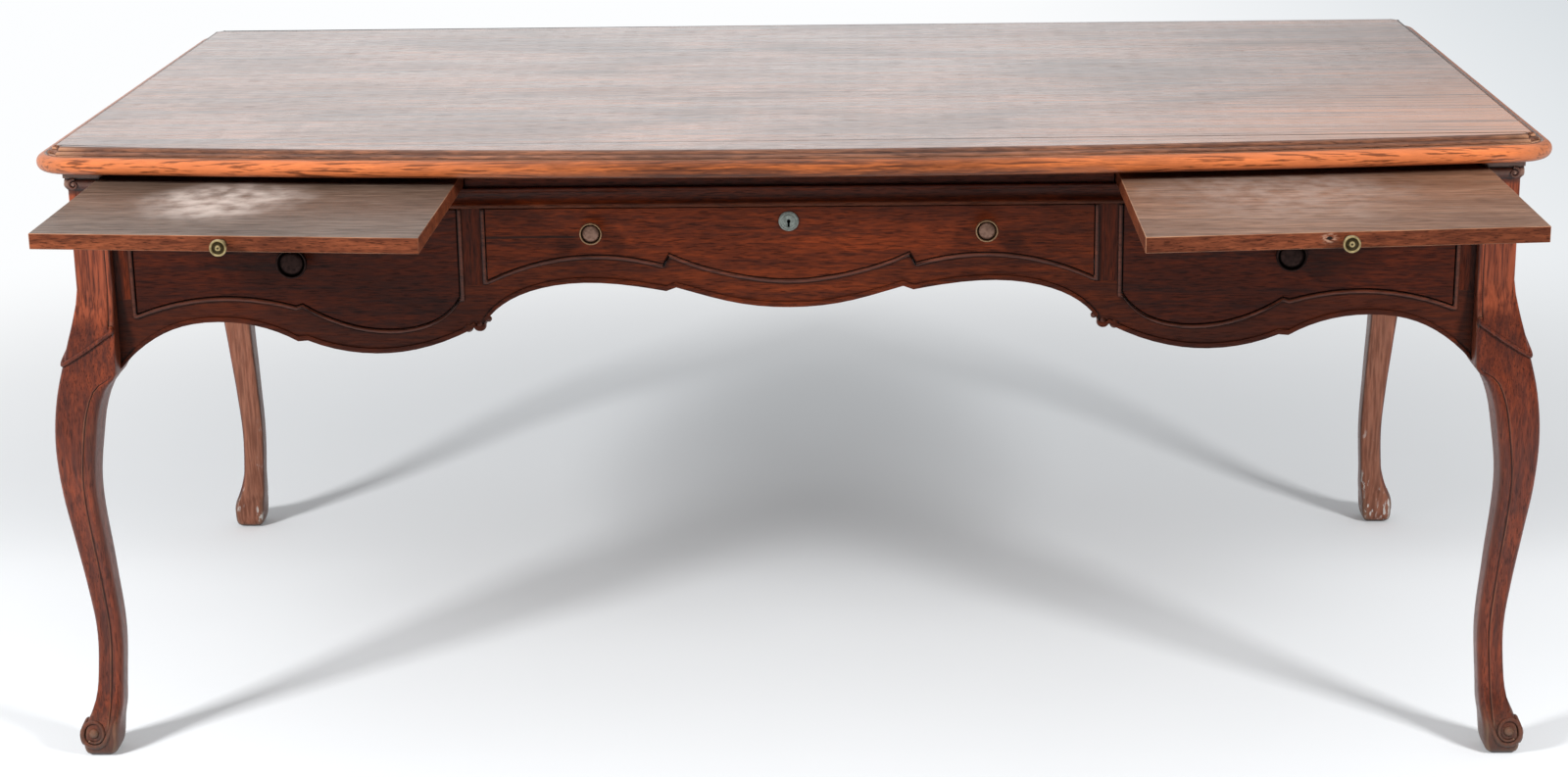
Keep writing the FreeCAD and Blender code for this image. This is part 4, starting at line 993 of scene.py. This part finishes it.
# %% Mix the metals
def metal(name, base, dull, rough):
    material, start = new_finish(name)
    place = start.node("ShaderNodeTexCoord", out="Object")
    wear = start.attribute("wear")
    tarnish = place.noise(260, 4).between(0.35, 0.70)
    tone = (0.75 * tarnish).tint(base, dull)
    tone = (wear * -1).between(0.0, 0.4).tint(tone, darker(dull))
    sockets = {"Strength": 0.15, "Distance": 0.2 * MM, "Height": place.noise(1400, 2)}
    bump = start.node("ShaderNodeBump", sockets)
    close_finish(start, Base_Color=tone, Metallic=0.9, Roughness=rough + 0.2 * tarnish, Normal=bump)
    return material


brass = metal("Rubbed_brass", (0.48, 0.38, 0.19), (0.28, 0.21, 0.10), 0.32)
ring_brass = metal("Dull_brass", (0.36, 0.23, 0.13), (0.19, 0.115, 0.065), 0.34)
rosy = metal("Brown_brass", (0.21, 0.125, 0.092), (0.13, 0.072, 0.052), 0.34)
pewter = metal("Grey_plate", (0.24, 0.265, 0.24), (0.15, 0.165, 0.15), 0.40)
# Painted shade: the side drawers' knobs are painted nearly black for the shade under the slides.
shaded_brass = metal("Shaded_brass", (0.024, 0.012, 0.010), (0.012, 0.006, 0.005), 0.38)
print("metals mixed")

# %% [markdown]
# ## Turned knobs
# A knob is turned on a lathe, so half of its outline is enough: spin carries it once round. The
# outline is written from the seat to the tip as a distance from the axis and a distance along it.

# %% Turn the knobs
def turned(bm, outline, radius, reach, seat):
    """Spins an outline of (share of radius, share of reach) about -Y at its seat."""
    spots = [bm.verts.new(seat + Vector((wide * radius, -far * reach, 0))) for wide, far in outline]
    chain = [bm.edges.new(pair) for pair in zip(spots, spots[1:])]
    bmesh.ops.spin(
        bm, geom=spots + chain, cent=seat, axis=(0, 1, 0), dvec=(0, 0, 0), angle=2 * pi, steps=40,
        use_merge=True,
    )
    bmesh.ops.remove_doubles(bm, verts=bm.verts, dist=TOUCHING)


def turned_piece(name, parts, body, slot, *nodes):
    """Each part is (outline, radius, reach, seat, finish)."""
    bm = bmesh.new()
    for index, (outline, radius, reach, seat, finish) in enumerate(parts):
        old = set(bm.faces)
        turned(bm, outline, radius, reach, seat)
        for face in bm.faces:
            if face not in old:
                face.material_index = index
    smooth(bm)
    shown(name, bm, [part[4] for part in parts], body, slot, *nodes)


STEM = ((0, 0), (0.52, 0), (0.52, 0.05), (0.46, 0.10), (0.36, 0.16), (0.34, 0.28), (0.40, 0.42), (0.62, 0.56))
RING = STEM + (
    (0.86, 0.68), (0.98, 0.80), (1.0, 0.88), (0.97, 0.965), (0.93, 1.0), (0.87, 0.985), (0.84, 0.93),
    (0.83, 0.86), (0.80, 0.84), (0, 0.84),
)
DISC = ((0, 0.80), (0.74, 0.80), (0.75, 0.88), (0.70, 0.925), (0.50, 0.965), (0.24, 0.98), (0, 0.98))
DISH = STEM + (
    (0.88, 0.70), (0.99, 0.82), (1.0, 0.90), (0.96, 0.97), (0.89, 1.0), (0.81, 0.98), (0.70, 0.90),
    (0.52, 0.84), (0.42, 0.84), (0.38, 0.88), (0.34, 0.955), (0.24, 0.985), (0.12, 0.95), (0, 0.93),
)


def seat_of(node):
    """The middle of a knob's back, its radius and its reach, from its solid."""
    low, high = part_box(node)
    back = Vector(((low.x + high.x) / 2, high.y, (low.z + high.z) / 2))
    return back, (high.z - low.z) / 2, high.y - low.y


middle, radius, reach = seat_of("centre_drawer_knobs")
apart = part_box("centre_drawer_knobs")[1].x - radius
pair = []
for side in (-1, 1):
    seat = Vector((side * apart, middle.y, middle.z))
    pair += [(RING, radius, reach, seat, ring_brass), (DISC, radius, reach, seat, rosy)]
turned_piece("centre_drawer_turned_knobs", pair, "centre_drawer", "brass", "centre_drawer_knobs")
for hand in ("left", "right"):
    seat, radius, reach = seat_of(f"{hand}_drawer_knob")
    parts = [(RING, radius, reach, seat, shaded_brass), (DISC, radius, reach, seat, shaded_brass)]
    turned_piece(f"{hand}_drawer_turned_knob", parts, f"{hand}_drawer", "brass", f"{hand}_drawer_knob")
    seat, radius, reach = seat_of(f"{hand}_slide_knob")
    parts = [(DISH, radius, reach, seat, brass)]
    turned_piece(f"{hand}_slide_turned_knob", parts, f"{hand}_slide", "brass", f"{hand}_slide_knob")
print("knobs turned")

# %% [markdown]
# ## The lock's plate
# A round plate with two raised rings and a keyhole. The solid already has the keyhole, so its copy
# only gets soft edges, and the rings are turned on top.

# %% Dress the escutcheon
bm = ease(copied("escutcheon"), 0.3 * MM, 2)
low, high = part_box("escutcheon")
plate = Vector(((low.x + high.x) / 2, low.y + 0.3 * MM, (low.z + high.z) / 2))
ridge = ((-0.9, 0), (-0.5, 0.7), (0, 0.9), (0.5, 0.7), (0.9, 0))
rings = bmesh.new()
for wide in (10.6, 7.6):
    turned(rings, [(wide + across, up) for across, up in ridge], MM, MM, plate)
bmesh.ops.holes_fill(rings, edges=rings.edges)
smooth(rings)
shown("escutcheon_plate", bm, [pewter], "centre_drawer", "steel", "escutcheon")
shown("escutcheon_rings", rings, [pewter], "centre_drawer", "steel")
print("escutcheon dressed")

# %% [markdown]
# ## The writing slides
# Their tops are rubbed grey and cloudy by sleeves and paper, mostly in the middle, while the front
# edges keep the red stain. The right one also has an old screw hole beside its knob, with pale
# scratches. It is too small to need a cut: a dark spot of the finish, painted shade for the inside of
# the hole, does it, placed by its distance from a point in a space that a Mapping node shrinks, so the
# spot is an oval.

# %% Dress the slides
def clouded(centre, reach, share):
    """Pale cloudy wear round a point of the top, and fine scratches across all of it."""
    def rubbed(tone, place, wear):
        away = place.node("ShaderNodeVectorMath", {0: place, 1: centre}, "Value", operation="DISTANCE")
        cloud = (0.60 * place.noise(14, 9) + (1 - away.between(0.0, reach))).between(0.60, 1.30)
        tone = (share * cloud * place.noise(45, 10).between(0.15, 0.75)).tint(tone, (0.72, 0.62, 0.56))
        sockets = {"Vector": place, "Rotation": (0, 0, 0.75), "Scale": (0.04, 1, 1)}
        aslant = place.node("ShaderNodeMapping", sockets)
        scratch = aslant.noise(420, 2).between(0.58, 0.72)
        return (0.22 * scratch).tint(tone, (0.55, 0.44, 0.36))
    return rubbed


def screw_hole(tone, place, wear):
    """A small dark oval, the painted shade of a hole, to the left of the right knob, and the scratches beside
    it.
    """
    low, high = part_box("right_slide_knob")
    spot = Vector(((low.x + high.x) / 2 - 21 * MM, 0, (low.z + high.z) / 2 + 2.5 * MM))
    oval = (1 / (3.4 * MM), 0, 1 / (2.2 * MM))
    shift = tuple(-a * b for a, b in zip(spot, oval))
    around = place.node("ShaderNodeMapping", {"Vector": place, "Location": shift, "Scale": oval})
    away = around.node("ShaderNodeVectorMath", {"Vector": around}, "Value", operation="LENGTH")
    scratch = (1 - away.between(1.2, 3.6)) * place.stretch([0.3, 1, 1]).noise(700, 3).between(0.45, 0.60)
    tone = (0.6 * scratch).tint(tone, (0.50, 0.31, 0.22))
    return (1 - away.between(0.75, 1.05)).tint(tone, (0.006, 0.004, 0.003))


BLUNT, SHORT = 0.9 * MM, 12 * MM
slide_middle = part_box("left_slide_board")[0].y + 0.21
# Three stains of the top, then the middle of its pale cloud, its reach and its strength.
SLIDES = {
    "left": ((0.070, 0.044, 0.031), (0.225, 0.148, 0.108), (0.50, 0.34, 0.24), (-0.650, -0.02), 0.19, 0.80),
    "right": ((0.130, 0.060, 0.034), (0.36, 0.190, 0.115), (0.60, 0.40, 0.26), (0.56, 0), 0.32, 0.30),
}
for hand, (*stains, (x, back), reach, share) in SLIDES.items():
    top = wood(
        f"{hand.capitalize()}_slide_top_wood", "x", *stains, rough=0.44, coat=0.25, straight=1.8,
        extra=clouded((x, slide_middle + back, 0.744), reach, share),
    )
    edge = wood(
        f"{hand.capitalize()}_slide_edge_wood", "x", (0.048, 0.011, 0.005), (0.25, 0.068, 0.028),
        (0.38, 0.18, 0.10), extra=screw_hole if hand == "right" else None,
    )
    node = f"{hand}_slide_board"
    bm = ease(copied(node), BLUNT, shortest=SHORT)
    for face in bm.faces:
        face.material_index = 0 if face.normal.z > 0.9 else 1
    shown(f"{hand}_slide_dressed", bm, [top, edge], f"{hand}_slide", "slide_wood", node)
print("slides dressed")

# %% [markdown]
# ## Inside the desk
# What is left are plain squared boards, such as drawer boxes, runners and partitions, and the lock.
# Their solids are right as they are and only take a finish, with the grain along each board's length.

# %% Finish the inner boards
left = {name: thing for name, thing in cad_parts.items() if not thing.hide_render}
for name, thing in left.items():
    low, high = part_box(name)
    longest = max(range(3), key=lambda axis: (high - low)[axis])
    finish = pewter if name.startswith("lock") and name != "lock_keeper" else inner_wood["xyz"[longest]]
    for place in thing.material_slots:
        place.material = finish
print(len(left), "inner pieces finished")
